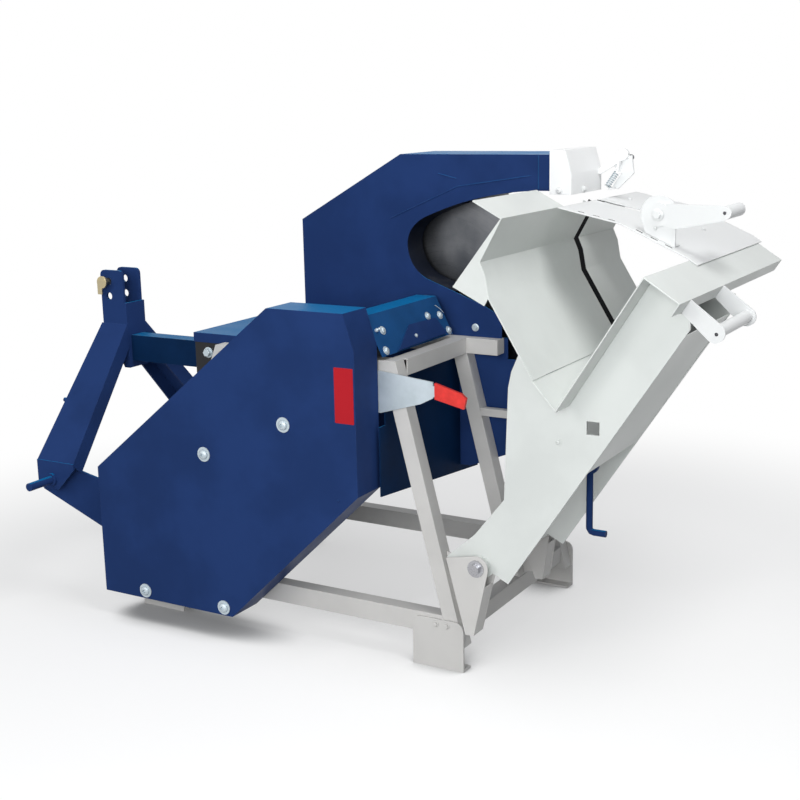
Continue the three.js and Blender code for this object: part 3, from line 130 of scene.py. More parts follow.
# Bearing console: its slope runs out and down from (x, z), and what lies on it is (y, z, lift)
CONSOLE_TOP = (268, 849)
CONSOLE_RUN = 48
CONSOLE_DROP = 94
CONSOLE_BOLTS = [(-284, 809, 0), (-62, 810, 0), (-4, 804, 0), (-306, 766, 0), (6, 765, 0)]
CONSOLE_PLATE = [(-166, 804, 3.0), (-31, 801, 3.0), (-18, 759.5, 7.0), (-262, 757, 7.0)]
CONSOLE_PLATE_GAP = 0.05
CONSOLE_SCREW = (-160, 776, 5.6)
CONSOLE_NIPPLE = (-310, 813, 0)
# A zinc wire clip standing in for a highlight along the console's far top edge: its start, run,
# arch and radius
CLIP_START = (-7, 829, 1.2)
CLIP_RUN = (24, -22)
CLIP_ARCH = 2
CLIP_RADIUS = 1.0

# End box and latch
END_BOX_SIDE_BOLT = (628, 124, 1119)
END_BOX_FRONT_BOLT = (597, 46, 1119)
LATCH_ROLLERS = [(706, 234, 1190), (674, 234, 1172)]
LATCH_NUT = (690, 237.1, 1198)
SPRING_FOOT = np.array([654.0, 219.0, 1122.0])
SPRING_TOP = np.array([677.0, 219.0, 1154.0])
SPRING_TURNS = 7
SPRING_RADIUS = 6.2
SPRING_WIRE_RADIUS = 1.5

# Frame: foot plates' outer faces and their screws as (x, z), hanger bolt and hitch peg
FOOT_NEAR, FOOT_FAR = -325.3, 342.3
FOOT_SCREWS = [(444, 113), (474, 112), (-440, 112)]
HANGER_BOLT = (-258, -256, 709)
HITCH_PEG = (-705, -322, 552)

# Weld beads: side tubes' outer faces, a right leg's edge at its top as (x, z) and its run per
# drop, heights of the beads, and the rings about the cradle's pivot
TUBE_NEAR, TUBE_FAR = -319.0, 336.0
LEG_TOP = (302.6, 745)
LEG_RAKE = 0.2543
LEG_WELD = (84, 134)
RAIL_WELD = 705
RAIL_WELD_END = 342
WELD_RADIUS = 1.8
BOSS_WELD_FACES = (-315.0, 9.0)
BOSS_WELD_RING = 20.6
BOSS_WELD_RADIUS = 1.7
BOSS_WELD_SWELL = 0.25
BOSS_WELD_WAVES = 20

# Cradle: arm screw, nut and screws of the hold-down bearing, the loop's and the lever's screws,
# the cover's upper face as (x, z) from end to end, and screws on it as (x, y, lift)
ARM_SCREW = (754, -315, 596)
HOLD_NUT = (889, -82, 1080)
BEARING_SCREWS = [(882, -72.4, 1049), (914, -72.4, 1057)]
LOOP_SCREW = (1104, -324, 864)
HOLD_SCREW = (1040, -79, 1087)
COVER_LINE = ((650, 1091), (808, 1057), (966, 986))
COVER_SCREWS = [(866, -55, 6.4), (916, -55, 6.4), (898, 223, 3.3), (694, 264, 3.3)]

# Gearbox: its middle and back as y, half its length, reach of its cover bolts, plug as (x, z)
GEARBOX_MIDDLE = -128
GEARBOX_BACK = -60
GEARBOX_HALF = 80
GEARBOX_BOLT_REACH = 62.0
GEARBOX_PLUG = (-230, 410)

# The photo's camera: its turn is (azimuth, down, roll) in degrees, its sight is in metres
CAMERA_PLACE = (1883.0, -2932.0, 1345.0)
CAMERA_TURN = (30.34, 12.86, -1.18)
CAMERA_LENS = 59.5
CAMERA_FILM = 36.0
CAMERA_SIGHT = 100.0

# Studio: softboxes as (name, place, side, property of its power, colour), and the floor, whose
# seen face has contact shade within a reach and turns white between two distances, in metres
LAMP_TARGET = (230, 0, 500)
SOFTBOXES = [("key_softbox", (-500, -4300, 2300), 2200, "key_power", (1.0, 0.99, 0.98)),
             ("fill_softbox", (1700, -3800, 1600), 1500, "fill_power", (0.97, 0.99, 1.0)),
             ("top_softbox", (1900, -600, 3600), 1500, "top_power", (1.0, 1.0, 1.0))]
SKY_TINT = (0.93, 0.96, 1.0, 1.0)
WHITE = (1.0, 1.0, 1.0, 1.0)
FLOOR_HALF = 30000.0
FLOOR_LIT = ((0.42, 0.42, 0.42), (0.44, 0.44, 0.44))
FLOOR_SEEN = ((0.47, 0.47, 0.47), (0.48, 0.48, 0.48))
FLOOR_WHITE = (1.2, 2.4)
CONTACT_REACH = 0.16
CONTACT_SAMPLES = 32


def place(points):
    """Points of the drafting frame, in millimetres, as metres in the row frame."""
    return (np.asarray(points, float) + DRAFT_SHIFT) * MM


def on_face(y, spots):
    """Spots given as (x, z), as points of the face at y."""
    return [(x, y, z) for x, z in spots]


# Shader nodes


def link(tree, start, end):
    tree.links.new(start, end)


def feed(tree, socket, value):
    """Give a socket a value, or link another socket to it."""
    if isinstance(value, bpy.types.NodeSocket):
        link(tree, value, socket)
    else:
        socket.default_value = value


def own_place(tree):
    """The shaded point in its object's coordinates."""
    return tree.nodes.new("ShaderNodeTexCoord").outputs["Object"]


def normal_parts(tree):
    """The shaded point's normal, split into x, y and z."""
    split = tree.nodes.new("ShaderNodeSeparateXYZ")
    link(tree, tree.nodes.new("ShaderNodeNewGeometry").outputs["Normal"], split.inputs[0])
    return split.outputs


def noise(tree, coordinates, scale, detail, roughness):
    """Noise on given coordinates; scale is a number or a socket."""
    node = tree.nodes.new("ShaderNodeTexNoise")
    feed(tree, node.inputs["Scale"], scale)
    node.inputs["Detail"].default_value = detail
    node.inputs["Roughness"].default_value = roughness
    link(tree, coordinates, node.inputs["Vector"])
    return node.outputs["Fac"]


def math_node(tree, operation, first, second=None, clamp=False):
    node = tree.nodes.new("ShaderNodeMath")
    node.operation = operation
    node.use_clamp = clamp
    feed(tree, node.inputs[0], first)
    if second is not None:
        feed(tree, node.inputs[1], second)
    return node.outputs[0]


def vector_node(tree, operation, first, second=None):
    node = tree.nodes.new("ShaderNodeVectorMath")
    node.operation = operation
    feed(tree, node.inputs[0], first)
    if second is not None:
        feed(tree, node.inputs[1], second)
    return node.outputs["Value" if operation in ("LENGTH", "DOT_PRODUCT") else "Vector"]


def ramp_node(tree, value, low, high, out_low=0.0, out_high=1.0):
    """A smooth ramp of value from low..high onto out_low..out_high."""
    node = tree.nodes.new("ShaderNodeMapRange")
    node.interpolation_type = "SMOOTHSTEP"
    node.inputs["From Min"].default_value = low
    node.inputs["From Max"].default_value = high
    node.inputs["To Min"].default_value = out_low
    node.inputs["To Max"].default_value = out_high
    link(tree, value, node.inputs["Value"])
    return node.outputs["Result"]


def mix_colour(tree, factor, first, second):
    """A blend of two colours, each three numbers or a socket, by a factor's socket."""
    node = tree.nodes.new("ShaderNodeMix")
    node.data_type = "RGBA"
    link(tree, factor, node.inputs["Factor"])
    for label, value in (("A", first), ("B", second)):
        socket = [s for s in node.inputs if s.name == label and s.type == "RGBA"][0]
        feed(tree, socket, (*value, 1.0) if isinstance(value, tuple) else value)
    return [s for s in node.outputs if s.type == "RGBA"][0]


# Shader groups that materials share


def new_group(name, inputs, outputs):
    """A shader node group with named sockets; a default of three values makes a vector socket."""
    group = bpy.data.node_groups.new(name, "ShaderNodeTree")
    for label, default in inputs.items():
        kind = "NodeSocketVector" if isinstance(default, tuple) else "NodeSocketFloat"
        socket = group.interface.new_socket(label, in_out="INPUT", socket_type=kind)
        socket.default_value = default
    for label in outputs:
        group.interface.new_socket(label, in_out="OUTPUT", socket_type="NodeSocketFloat")
    source = group.nodes.new("NodeGroupInput")
    sink = group.nodes.new("NodeGroupOutput")
    return group, source.outputs, sink.inputs


def edge_wear_group():
    """Mask of rubbed edges: where a rounded normal leaves the true one, broken up by noise."""
    group, source, sink = new_group(
        "Rubbed edges", {"Reach": 0.0015, "Amount": 0.6, "Break-up": 60.0}, ["Mask"])
    bevel = group.nodes.new("ShaderNodeBevel")
    bevel.samples = 4
    link(group, source["Reach"], bevel.inputs["Radius"])
    geometry = group.nodes.new("ShaderNodeNewGeometry")
    dot = vector_node(group, "DOT_PRODUCT", bevel.outputs["Normal"], geometry.outputs["Normal"])
    edge = ramp_node(group, dot, 0.995, 0.86)
    broken = ramp_node(group, noise(group, own_place(group), source["Break-up"], 5.0, 0.65),
                       0.44, 0.62)
    mask = math_node(group, "MULTIPLY", edge, broken)
    link(group, math_node(group, "MULTIPLY", mask, source["Amount"], True), sink["Mask"])
    return group


def paint_skin_group():
    """Sprayed paint: fine orange-peel height, slow cloudiness and settled dust on flat tops."""
    group, source, sink = new_group(
        "Sprayed skin", {"Peel size": 420.0, "Cloud size": 5.0, "Dust": 0.2},
        ["Height", "Cloud", "Dust mask", "Top"])
    coordinates = own_place(group)
    link(group, noise(group, coordinates, source["Peel size"], 2.0, 0.5), sink["Height"])
    link(group, noise(group, coordinates, source["Cloud size"], 4.0, 0.6), sink["Cloud"])
    flat = ramp_node(group, normal_parts(group)["Z"], 0.7, 0.98)
    link(group, flat, sink["Top"])
    speck = ramp_node(group, noise(group, coordinates, 38.0, 6.0, 0.7), 0.42, 0.75)
    dust = math_node(group, "MULTIPLY", flat, speck)
    link(group, math_node(group, "MULTIPLY", dust, source["Dust"], True), sink["Dust mask"])
    return group


def metal_grain_group():
    """Directional grain: noise on coordinates squeezed along the machining direction."""
    group, source, sink = new_group(
        "Metal grain", {"Squeeze": (1.0, 1.0, 1.0), "Fine": 260.0}, ["Streak", "Stain"])
    coordinates = own_place(group)
    squeezed = vector_node(group, "MULTIPLY", coordinates, source["Squeeze"])
    link(group, noise(group, squeezed, source["Fine"], 3.0, 0.6), sink["Streak"])
    link(group, noise(group, coordinates, 14.0, 5.0, 0.6), sink["Stain"])
    return group


GROUPS = {}


def group_node(tree, maker, **values):
    """Outputs of one of the shared groups in a material, with its own values."""
    if maker not in GROUPS:
        GROUPS[maker] = maker()
    node = tree.nodes.new("ShaderNodeGroup")
    node.node_tree = GROUPS[maker]
    for label, value in values.items():
        node.inputs[label].default_value = value
    return node.outputs


# Materials

MATERIALS = {}


def shell_material(name):
    """A new material with a bare shader: the material, its tree and the shader's inputs."""
    material = bpy.data.materials.new(name)
    material.use_nodes = True
    tree = material.node_tree
    tree.nodes.clear()
    shader = tree.nodes.new("ShaderNodeBsdfPrincipled")
    output = tree.nodes.new("ShaderNodeOutputMaterial")
    link(tree, shader.outputs["BSDF"], output.inputs["Surface"])
    MATERIALS[name] = material
    return material, tree, shader.inputs


def bump(tree, shader, height, strength, distance):
    node = tree.nodes.new("ShaderNodeBump")
    node.inputs["Strength"].default_value = strength
    node.inputs["Distance"].default_value = distance
    link(tree, height, node.inputs["Height"])
    link(tree, node.outputs["Normal"], shader["Normal"])


def painted(name, colour, worn, roughness, dust, wear, cloud=0.12,
            dust_colour=(0.62, 0.6, 0.56), top=None, gloss=0.3):
    """Sprayed sheet metal: body colour with slow clouding, dust on flats and rubbed edges.

    With a top colour, faces that look up take it as painted light from above, not as a colour of
    the paint.
    """
    material, tree, shader = shell_material(name)
    skin = group_node(tree, paint_skin_group, Dust=dust)
    edges = group_node(tree, edge_wear_group, Amount=wear)
    darker = tuple(channel * (1.0 - cloud) for channel in colour)
    lighter = tuple(min(channel * (1.0 + cloud), 1.0) for channel in colour)
    clouds = mix_colour(tree, ramp_node(tree, skin["Cloud"], 0.35, 0.65), darker, lighter)
    # Painted light: faces that look up are mixed toward the lighter top colour, as if lit from
    # above
    if top:
        clouds = mix_colour(tree, math_node(tree, "MULTIPLY", skin["Top"], 0.8), clouds, top)
    dusty = mix_colour(tree, skin["Dust mask"], clouds, dust_colour)
    link(tree, mix_colour(tree, edges["Mask"], dusty, worn), shader["Base Color"])
    rough = ramp_node(tree, skin["Cloud"], 0.3, 0.7, roughness - 0.05, roughness + 0.08)
    dull = math_node(tree, "MULTIPLY", skin["Dust mask"], 0.5)
    link(tree, math_node(tree, "ADD", rough, dull, True), shader["Roughness"])
    shader["Specular IOR Level"].default_value = gloss
    bump(tree, shader, skin["Height"], 0.12, 0.0004)
    return material


def paint_slot_shade(material, near, far):
    """Painted shade: black on a slot's side faces, where y lies between near and far and the face
    looks across.
    """
    tree = material.node_tree
    shader = [n for n in tree.nodes if n.type == "BSDF_PRINCIPLED"][0].inputs
    paint = shader["Base Color"].links[0].from_socket
    parts = tree.nodes.new("ShaderNodeSeparateXYZ")
    link(tree, own_place(tree), parts.inputs[0])
    low, high = (float(place([0, y, 0])[1]) for y in (near, far))
    offset = math_node(tree, "SUBTRACT", parts.outputs["Y"], (low + high) / 2)
    inside = math_node(tree, "LESS_THAN", math_node(tree, "ABSOLUTE", offset), (high - low) / 2)
    facing = math_node(tree, "ABSOLUTE", normal_parts(tree)["Y"])
    across = math_node(tree, "GREATER_THAN", facing, 0.6)
    black = math_node(tree, "MULTIPLY", inside, across)
    link(tree, mix_colour(tree, black, paint, (0.006, 0.006, 0.007)), shader["Base Color"])


def metal(name, colour, dark, roughness, squeeze=(1.0, 1.0, 1.0), fine=260.0, metallic=1.0,
          streak=0.08):
    """Bare or plated metal: streaked roughness and faint stains."""
    _, tree, shader = shell_material(name)
    grain = group_node(tree, metal_grain_group, Squeeze=squeeze, Fine=fine)
    stain = ramp_node(tree, grain["Stain"], 0.38, 0.68)
    link(tree, mix_colour(tree, stain, dark, colour), shader["Base Color"])
    link(tree, ramp_node(tree, grain["Streak"], 0.3, 0.7, roughness - streak, roughness + streak),
         shader["Roughness"])
    shader["Metallic"].default_value = metallic
    bump(tree, shader, grain["Streak"], 0.1, 0.0003)


def ground_blade(name):
    """Ground saw steel: fine rings about the saw's axis, paler in a band at the teeth."""
    _, tree, shader = shell_material(name)
    coordinates = own_place(tree)
    centre = tuple(place([SAW[0], BLADE_MIDDLE, SAW[1]]))
    offset = vector_node(tree, "SUBTRACT", coordinates, centre)
    radius = vector_node(tree, "LENGTH", vector_node(tree, "MULTIPLY", offset, (1.0, 0.0, 1.0)))
    rings = tree.nodes.new("ShaderNodeCombineXYZ")
    link(tree, radius, rings.inputs["X"])
    ring_noise = noise(tree, rings.outputs["Vector"], 900.0, 4.0, 0.7)
    stain = ramp_node(tree, noise(tree, coordinates, 7.0, 4.0, 0.55), 0.3, 0.75)
    tone = mix_colour(tree, stain, (0.08, 0.085, 0.095), (0.17, 0.175, 0.185))
    rim = ramp_node(tree, radius, 0.31, 0.345)
    link(tree, mix_colour(tree, rim, tone, (0.2, 0.2, 0.205)), shader["Base Color"])
    link(tree, ramp_node(tree, ring_noise, 0.3, 0.7, 0.24, 0.42), shader["Roughness"])
    shader["Metallic"].default_value = 1.0
    bump(tree, shader, ring_noise, 0.15, 0.0002)


def cast_iron(name, colour):
    """Sand-cast and painted iron: coarse skin with darker pits."""
    _, tree, shader = shell_material(name)
    coordinates = own_place(tree)
    coarse = noise(tree, coordinates, 130.0, 6.0, 0.65)
    slow = noise(tree, coordinates, 12.0, 3.0, 0.5)
    dark = tuple(channel * 0.6 for channel in colour)
    tone = mix_colour(tree, ramp_node(tree, coarse, 0.35, 0.6), dark, colour)
    edges = group_node(tree, edge_wear_group, Amount=0.4)
    link(tree, mix_colour(tree, edges["Mask"], tone, (0.35, 0.35, 0.36)), shader["Base Color"])
    link(tree, ramp_node(tree, slow, 0.3, 0.7, 0.5, 0.68), shader["Roughness"])
    shader["Metallic"].default_value = 0.25
    bump(tree, shader, coarse, 0.4, 0.0008)


def rubber(name, colour, dull=0.0):
    """Moulded rubber or soft grip: matt, finely pored, with scuffed patches."""
    _, tree, shader = shell_material(name)
    coordinates = own_place(tree)
    pores = noise(tree, coordinates, 520.0, 3.0, 0.6)
    slow = noise(tree, coordinates, 22.0, 4.0, 0.6)
    scuffed = tuple(min(channel * 1.35 + 0.01, 1.0) for channel in colour)
    link(tree, mix_colour(tree, ramp_node(tree, slow, 0.4, 0.75), colour, scuffed),
         shader["Base Color"])
    link(tree, ramp_node(tree, slow, 0.3, 0.7, 0.42 + dull, 0.6 + dull), shader["Roughness"])
    bump(tree, shader, pores, 0.2, 0.0004)


def make_materials():
    look = bpy.context.scene.saw_finish
    blue, top = tuple(look.casing_blue), tuple(look.casing_top_light)
    casing = {"dust": 0.05, "wear": 0.45, "dust_colour": (0.12, 0.17, 0.3), "top": top,
              "gloss": 0.02}
    painted("casing_blue", blue, (0.06, 0.11, 0.26), look.gloss, cloud=0.1, **casing)
    # Painted light: the console's blue is the casing blue mixed 22 percent toward the top colour, a
    # lit copy of the same paint
    lit = tuple(0.78 * body + 0.22 * sky for body, sky in zip(blue, top))
    painted("console_blue", lit, (0.06, 0.13, 0.28), look.gloss, cloud=0.14, **casing)
    painted("shaded_blue", (0.004, 0.02, 0.065), (0.06, 0.1, 0.2), 0.4, dust=0.1, wear=0.35,
            top=top, gloss=0.02)
    # Painted shade: the throat's return is near-black navy for the shade inside the throat, not a
    # paint of its own
    painted("throat_navy", (0.003, 0.006, 0.017), (0.04, 0.06, 0.12), 0.5, dust=0.05, wear=0.4,
            gloss=0.1)
    painted("frame_grey", tuple(look.frame_grey), (0.38, 0.37, 0.36), 0.42, dust=0.12, wear=0.3,
            cloud=0.04)
    cradle = {"colour": tuple(look.cradle_grey), "worn": (0.5, 0.5, 0.5), "roughness": 0.36,
              "dust": 0.1, "wear": 0.3, "cloud": 0.03, "dust_colour": (0.72, 0.7, 0.66)}
    painted("cradle_grey", **cradle)
    # The blade walls' slot sides are painted black as the shade inside the slot
    paint_slot_shade(painted("wall_grey", **cradle), *WALL_SLOT)
    pale = {"worn": (0.6, 0.6, 0.6), "roughness": 0.36, "cloud": 0.02}
    # Painted light: the end box is a lighter copy of the cover's white paint, as if more brightly
    # lit
    painted("end_white", (0.88, 0.885, 0.885), dust=0.03, wear=0.2,
            dust_colour=(0.8, 0.79, 0.77), **pale)
    cover = {"colour": tuple(look.cover_white), "dust": 0.06, "wear": 0.25, **pale}
    slotted = painted("slotted_white", dust_colour=(0.78, 0.77, 0.74), **cover)
    # The cover's slot sides are painted black as the shade inside the slots
    paint_slot_shade(slotted, *COVER_SLOTS)
    painted("cover_white", dust_colour=(0.8, 0.78, 0.75), **cover)
    painted("hanger_black", (0.012, 0.012, 0.014), (0.12, 0.12, 0.13), 0.4, dust=0.15, wear=0.5,
            gloss=0.25)
    painted("label_red", tuple(look.label_red), (0.8, 0.2, 0.2), 0.4, dust=0.02, wear=0.1,
            cloud=0.03, gloss=0.15)
    metal("zinc_plate", (0.55, 0.62, 0.67), (0.47, 0.54, 0.58), 0.45, fine=70.0, streak=0.06,
          metallic=0.4)
    metal("zinc_yellow", (0.62, 0.5, 0.24), (0.46, 0.4, 0.26), 0.36, fine=90.0)
    metal("turned_steel", (0.52, 0.53, 0.55), (0.38, 0.38, 0.4), 0.3, squeeze=(1.0, 9.0, 1.0))
    metal("dark_bolt", (0.09, 0.09, 0.1), (0.05, 0.05, 0.055), 0.4, metallic=0.8)
    ground_blade("ground_blade")
    cast_iron("cast_iron", (0.06, 0.065, 0.075))
    rubber("buffer_black", (0.018, 0.018, 0.018), 0.15)
    rubber("belt_black", (0.014, 0.014, 0.015), 0.2)
    rubber("grip_red", tuple(look.grip_red))


# Finishes of the CAD nodes

NODE_SLOT = {row["node"]: row["material_slot"] for row in frame["record"]["subparts"]}
SLOT_FINISH = {
    "frame_paint": "frame_grey", "blue_paint": "casing_blue", "cradle_paint": "cradle_grey",
    "white_paint": "cover_white", "black_paint": "hanger_black", "zinc": "zinc_plate",
    "steel": "turned_steel", "cast_iron": "cast_iron", "rubber": "buffer_black",
    "red_grip": "grip_red",
}
OWN_FINISH = {
    "blade_wall_near": "wall_grey", "blade_wall_far": "wall_grey", "cover_sheet": "slotted_white",
    "end_box": "end_white", "throat_return": "throat_navy", "saw_blade": "ground_blade",
    "bearing_console": "console_blue", "drive_belt": "belt_black", "linch_pin": "zinc_yellow",
    "pivot_axle": "turned_steel", "splash_sheet": "shaded_blue", "hitch_strut": "shaded_blue",
}


def in_slots(*slots):
    """Names of the CAD nodes in any of the material slots."""
    return [name for name, slot in NODE_SLOT.items() if slot in slots]


def finish_nodes(names, width=SHEET_BEVEL):
    """CAD nodes get their material, and edges rounded to width millimetres that catch light."""
    for name in names:
        node = NODES[name]
        finish = OWN_FINISH.get(name, SLOT_FINISH[NODE_SLOT[name]])
        node.data.materials.clear()
        node.data.materials.append(MATERIALS[finish])
        node.data.polygons.foreach_set("use_smooth", [True] * len(node.data.polygons))
        weld = node.modifiers.new("merge_corners", "WELD")
        weld.merge_threshold = MERGE_REACH * MM
        if width:
            bevel = node.modifiers.new("rounded_edges", "BEVEL")
            bevel.width = width * MM
            bevel.segments = 2
            bevel.limit_method = "ANGLE"
            bevel.angle_limit = BEVEL_ANGLE
            bevel.use_clamp_overlap = True
        split = node.modifiers.new("keep_creases", "EDGE_SPLIT")
        split.split_angle = CREASE_ANGLE
        flat = node.modifiers.new("flat_faces", "WEIGHTED_NORMAL")
        flat.mode = "FACE_AREA"
        flat.weight = 80


# Surfaces from arrays: a shape is (points, faces)


def mesh_piece(name, shape, body, finish, smooth=True):
    """A new mesh piece in drafting millimetres, riding on a CAD body."""
    points, faces = shape
    mesh = bpy.data.meshes.new(name)
    mesh.from_pydata(place(points).tolist(), [], [list(map(int, face)) for face in faces])
    mesh.validate()
    mesh.polygons.foreach_set("use_smooth", [smooth] * len(mesh.polygons))
    mesh.update()
    piece = bpy.data.objects.new(name, mesh)
    bpy.context.scene.collection.objects.link(piece)
    piece.data.materials.append(MATERIALS[finish])
    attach(piece, body)
    if smooth:
        split = piece.modifiers.new("keep_creases", "EDGE_SPLIT")
        split.split_angle = TRIM_CREASE_ANGLE
    return piece


def grid_faces(rows, columns):
    """Quads of a rows x columns grid, its columns joined round."""
    i, j = np.meshgrid(np.arange(rows - 1), np.arange(columns), indexing="ij")
    i, j = i.ravel(), j.ravel()
    after = (j + 1) % columns
    return np.stack([i * columns + j, i * columns + after, (i + 1) * columns + after,
                     (i + 1) * columns + j], axis=1).tolist()


def basis(direction):
    """Two side vectors and the direction itself, right-handed."""
    axis = np.asarray(direction, float)
    axis = axis / np.linalg.norm(axis)
    helper = np.array([0.0, 0.0, 1.0]) if abs(axis[2]) < 0.9 else np.array([1.0, 0.0, 0.0])
    first = np.cross(helper, axis)
    first /= np.linalg.norm(first)
    return np.array([first, np.cross(axis, first), axis])


def turned(profile, direction, steps, corner=0.0):
    """A surface of revolution: profile rows are (radius, place along the axis).

    Point(u, v) = axis * place(u) + radius(u) * (cos v * side + sin v * other side). With corner
    above 0 the radius is that of a polygon of six flats, shared with the circle by corner.
    """
    profile = np.asarray(profile, float)
    turn = np.arange(steps) / steps * 2 * np.pi
    flat = np.cos(np.pi / 6) / np.cos((turn % (np.pi / 3)) - np.pi / 6)
    reach = (1 - corner) + corner * flat
    side, other, axis = basis(direction)
    ring = np.cos(turn)[:, None] * side + np.sin(turn)[:, None] * other
    points = (profile[:, 0, None, None] * reach[None, :, None] * ring[None, :, :]
              + profile[:, 1, None, None] * axis).reshape(-1, 3)
    hubs = profile[[0, -1], 1][:, None] * axis
    first = np.arange(steps)
    last = first + (len(profile) - 1) * steps
    hub = np.full(steps, len(points))
    return np.vstack([points, hubs]), [
        *grid_faces(len(profile), steps),
        *np.stack([hub, np.roll(first, -1), first], axis=1).tolist(),
        *np.stack([hub + 1, last, np.roll(last, -1)], axis=1).tolist()]


def combined(*shapes):
    """Several shapes as one."""
    points, faces, start = [], [], 0
    for shape_points, shape_faces in shapes:
        points.append(shape_points)
        faces.extend([[index + start for index in face] for face in shape_faces])
        start += len(shape_points)
    return np.vstack(points), faces


def moved(shape, offset):
    return shape[0] + np.asarray(offset, float), shape[1]


def repeated(shape, places):
    """One shape copied to several places."""
    return combined(*[moved(shape, spot) for spot in places])


def tube(path, radius, sides=8):
    """A round tube: each ring stands square to the path, its side vector carried along it.

    Point(s, v) = path(s) + radius(s) * (cos v * side(s) + sin v * other(s)).
    """
    path = np.asarray(path, float)
    count = len(path)
    radius = np.broadcast_to(np.asarray(radius, float), (count,))
    tangent = np.gradient(path, axis=0)
    tangent /= np.linalg.norm(tangent, axis=1)[:, None]
    side = np.zeros_like(path)
    side[0] = basis(tangent[0])[0]
    for k in range(1, count):
        previous = side[k - 1] - tangent[k] * np.dot(side[k - 1], tangent[k])
        side[k] = previous / np.linalg.norm(previous)
    other = np.cross(tangent, side)
    turn = np.arange(sides) / sides * 2 * np.pi
    points = (path[:, None, :] + radius[:, None, None]
              * (np.cos(turn)[None, :, None] * side[:, None, :]
                 + np.sin(turn)[None, :, None] * other[:, None, :])).reshape(-1, 3)
    first = list(range(sides))[::-1]
    last = [(count - 1) * sides + k for k in range(sides)]
    return points, [*grid_faces(count, sides), first, last]


def line(start, end, steps):
    """Points at even steps from start to end."""
    share = np.linspace(0, 1, steps)[:, None]
    return np.asarray(start, float) * (1 - share) + np.asarray(end, float) * share


def bead(start, end, size, waves):
    """A weld bead: a tube whose radius swells and falls once a wave."""
    steps = waves * 4
    radius = size * (1 + 0.14 * np.cos(np.linspace(0, waves * 2 * np.pi, steps)))
    radius[0] = radius[-1] = size * 0.45
    return tube(line(start, end, steps), radius)


def slab(corners, front, back, radius):
    """A thin plate with rounded corners in the plane across y, from front to back.

    Its rim is four quarter circles; each ring of the plate repeats that rim at another depth.
    """
    (left, low), (right, top) = corners
    quarter = np.linspace(0, np.pi / 2, 6)
    centres = [(right - radius, top - radius), (left + radius, top - radius),
               (left + radius, low + radius), (right - radius, low + radius)]
    rim = np.vstack([np.stack([cx + radius * np.cos(quarter + k * np.pi / 2),
                               cz + radius * np.sin(quarter + k * np.pi / 2)], axis=1)
                     for k, (cx, cz) in enumerate(centres)])
    middle = np.array([(left + right) / 2, (low + top) / 2])
    inset = middle + (rim - middle) * (1 - 0.5 * abs(front - back) / (right - left))
    rings = [(rim, back), (rim, front + (back - front) * 0.4), (inset, front)]
    points = np.vstack([np.stack([ring[:, 0], np.full(len(ring), depth), ring[:, 1]], axis=1)
                        for ring, depth in rings])
    size = len(rim)
    faces = [face[::-1] for face in grid_faces(len(rings), size)]
    return points, [*faces, list(range(size)), [2 * size + k for k in range(size)][::-1]]


def hexagon_bolt(direction, sizes):
    """A chamfered hexagon head on a washer; each profile runs along the bolt's axis."""
    across, height, washer, thickness = sizes
    head = turned([(across * 0.57, 0), (across * 0.57, height * 0.86), (across * 0.5, height)],
                  direction, 36, 1.0)
    ring = turned([(washer - 0.4, 0), (washer, thickness * 0.4), (washer, thickness * 0.8),
                   (washer - 0.5, thickness)], direction, 36)
    return combined(ring, moved(head, basis(direction)[2] * thickness))


def button_bolt(direction, sizes):
    """A button head on a washer, with a sunk socket in its crown.

    Dome(a) lies at radius * cos a, and its height grows with sin a from a quarter to the whole.
    """
    radius, height, washer, thickness = sizes
    angle = np.linspace(0, np.pi / 2 * 0.78, 7)
    dome = np.stack([radius * np.cos(angle),
                     height * (0.25 + 0.75 * np.sin(angle) / np.sin(angle[-1]))], axis=1)
    socket = radius * 0.34
    head = turned([(radius, 0), *dome, (socket, height), (socket, height * 0.45)], direction, 36)
    ring = turned([(washer - 0.6, 0), (washer, thickness * 0.5), (washer - 0.3, thickness)],
                  direction, 40)
    return combined(ring, moved(head, basis(direction)[2] * thickness))


# Places on sloping sheets

CONSOLE_NORMAL = basis((CONSOLE_DROP, 0, CONSOLE_RUN))[2]


def on_console(y, z, lift):
    """A point of the bearing console's slope, lifted off it along its normal."""
    x = CONSOLE_TOP[0] + (CONSOLE_TOP[1] - z) / CONSOLE_DROP * CONSOLE_RUN
    return np.array([x, y, z]) + CONSOLE_NORMAL * lift


def on_cover(x, y, lift):
    """A point of the cradle cover's upper face, lifted along its normal, and that normal."""
    first, bend, last = COVER_LINE
    start, end = (first, bend) if x < bend[0] else (bend, last)
    run, rise = end[0] - start[0], end[1] - start[1]
    normal = basis((-rise, 0, run))[2]
    return np.array([x, y, start[1] + rise * (x - start[0]) / run]) + normal * lift, normal


# Operators: each finishes or builds one group of pieces


class SAW_OT_Materials(bpy.types.Operator):
    """Build every finish and its shared shader groups"""

    bl_idname = "saw.materials"
    bl_label = "Build the finishes"

    def execute(self, context):
        make_materials()
        return {"FINISHED"}


class SAW_OT_Frame(bpy.types.Operator):
    """Finish the square-tube frame, its feet, clevises, buffer and axle"""

    bl_idname = "saw.frame"
    bl_label = "Finish the frame"

    def execute(self, context):
        clevises = ["pivot_clevis_near", "pivot_clevis_far"]
        finish_nodes([name for name in in_slots("frame_paint") if name not in clevises],
                     TUBE_BEVEL)
        finish_nodes([*clevises, "swing_buffer", "pivot_axle"])
        return {"FINISHED"}


class SAW_OT_Casings(bpy.types.Operator):
    """Finish the sheet-metal hood, casings, belt guard, hanger plate and hitch"""

    bl_idname = "saw.casings"
    bl_label = "Finish the casings and hitch"

    def execute(self, context):
        finish_nodes(in_slots("blue_paint", "black_paint"))
        return {"FINISHED"}


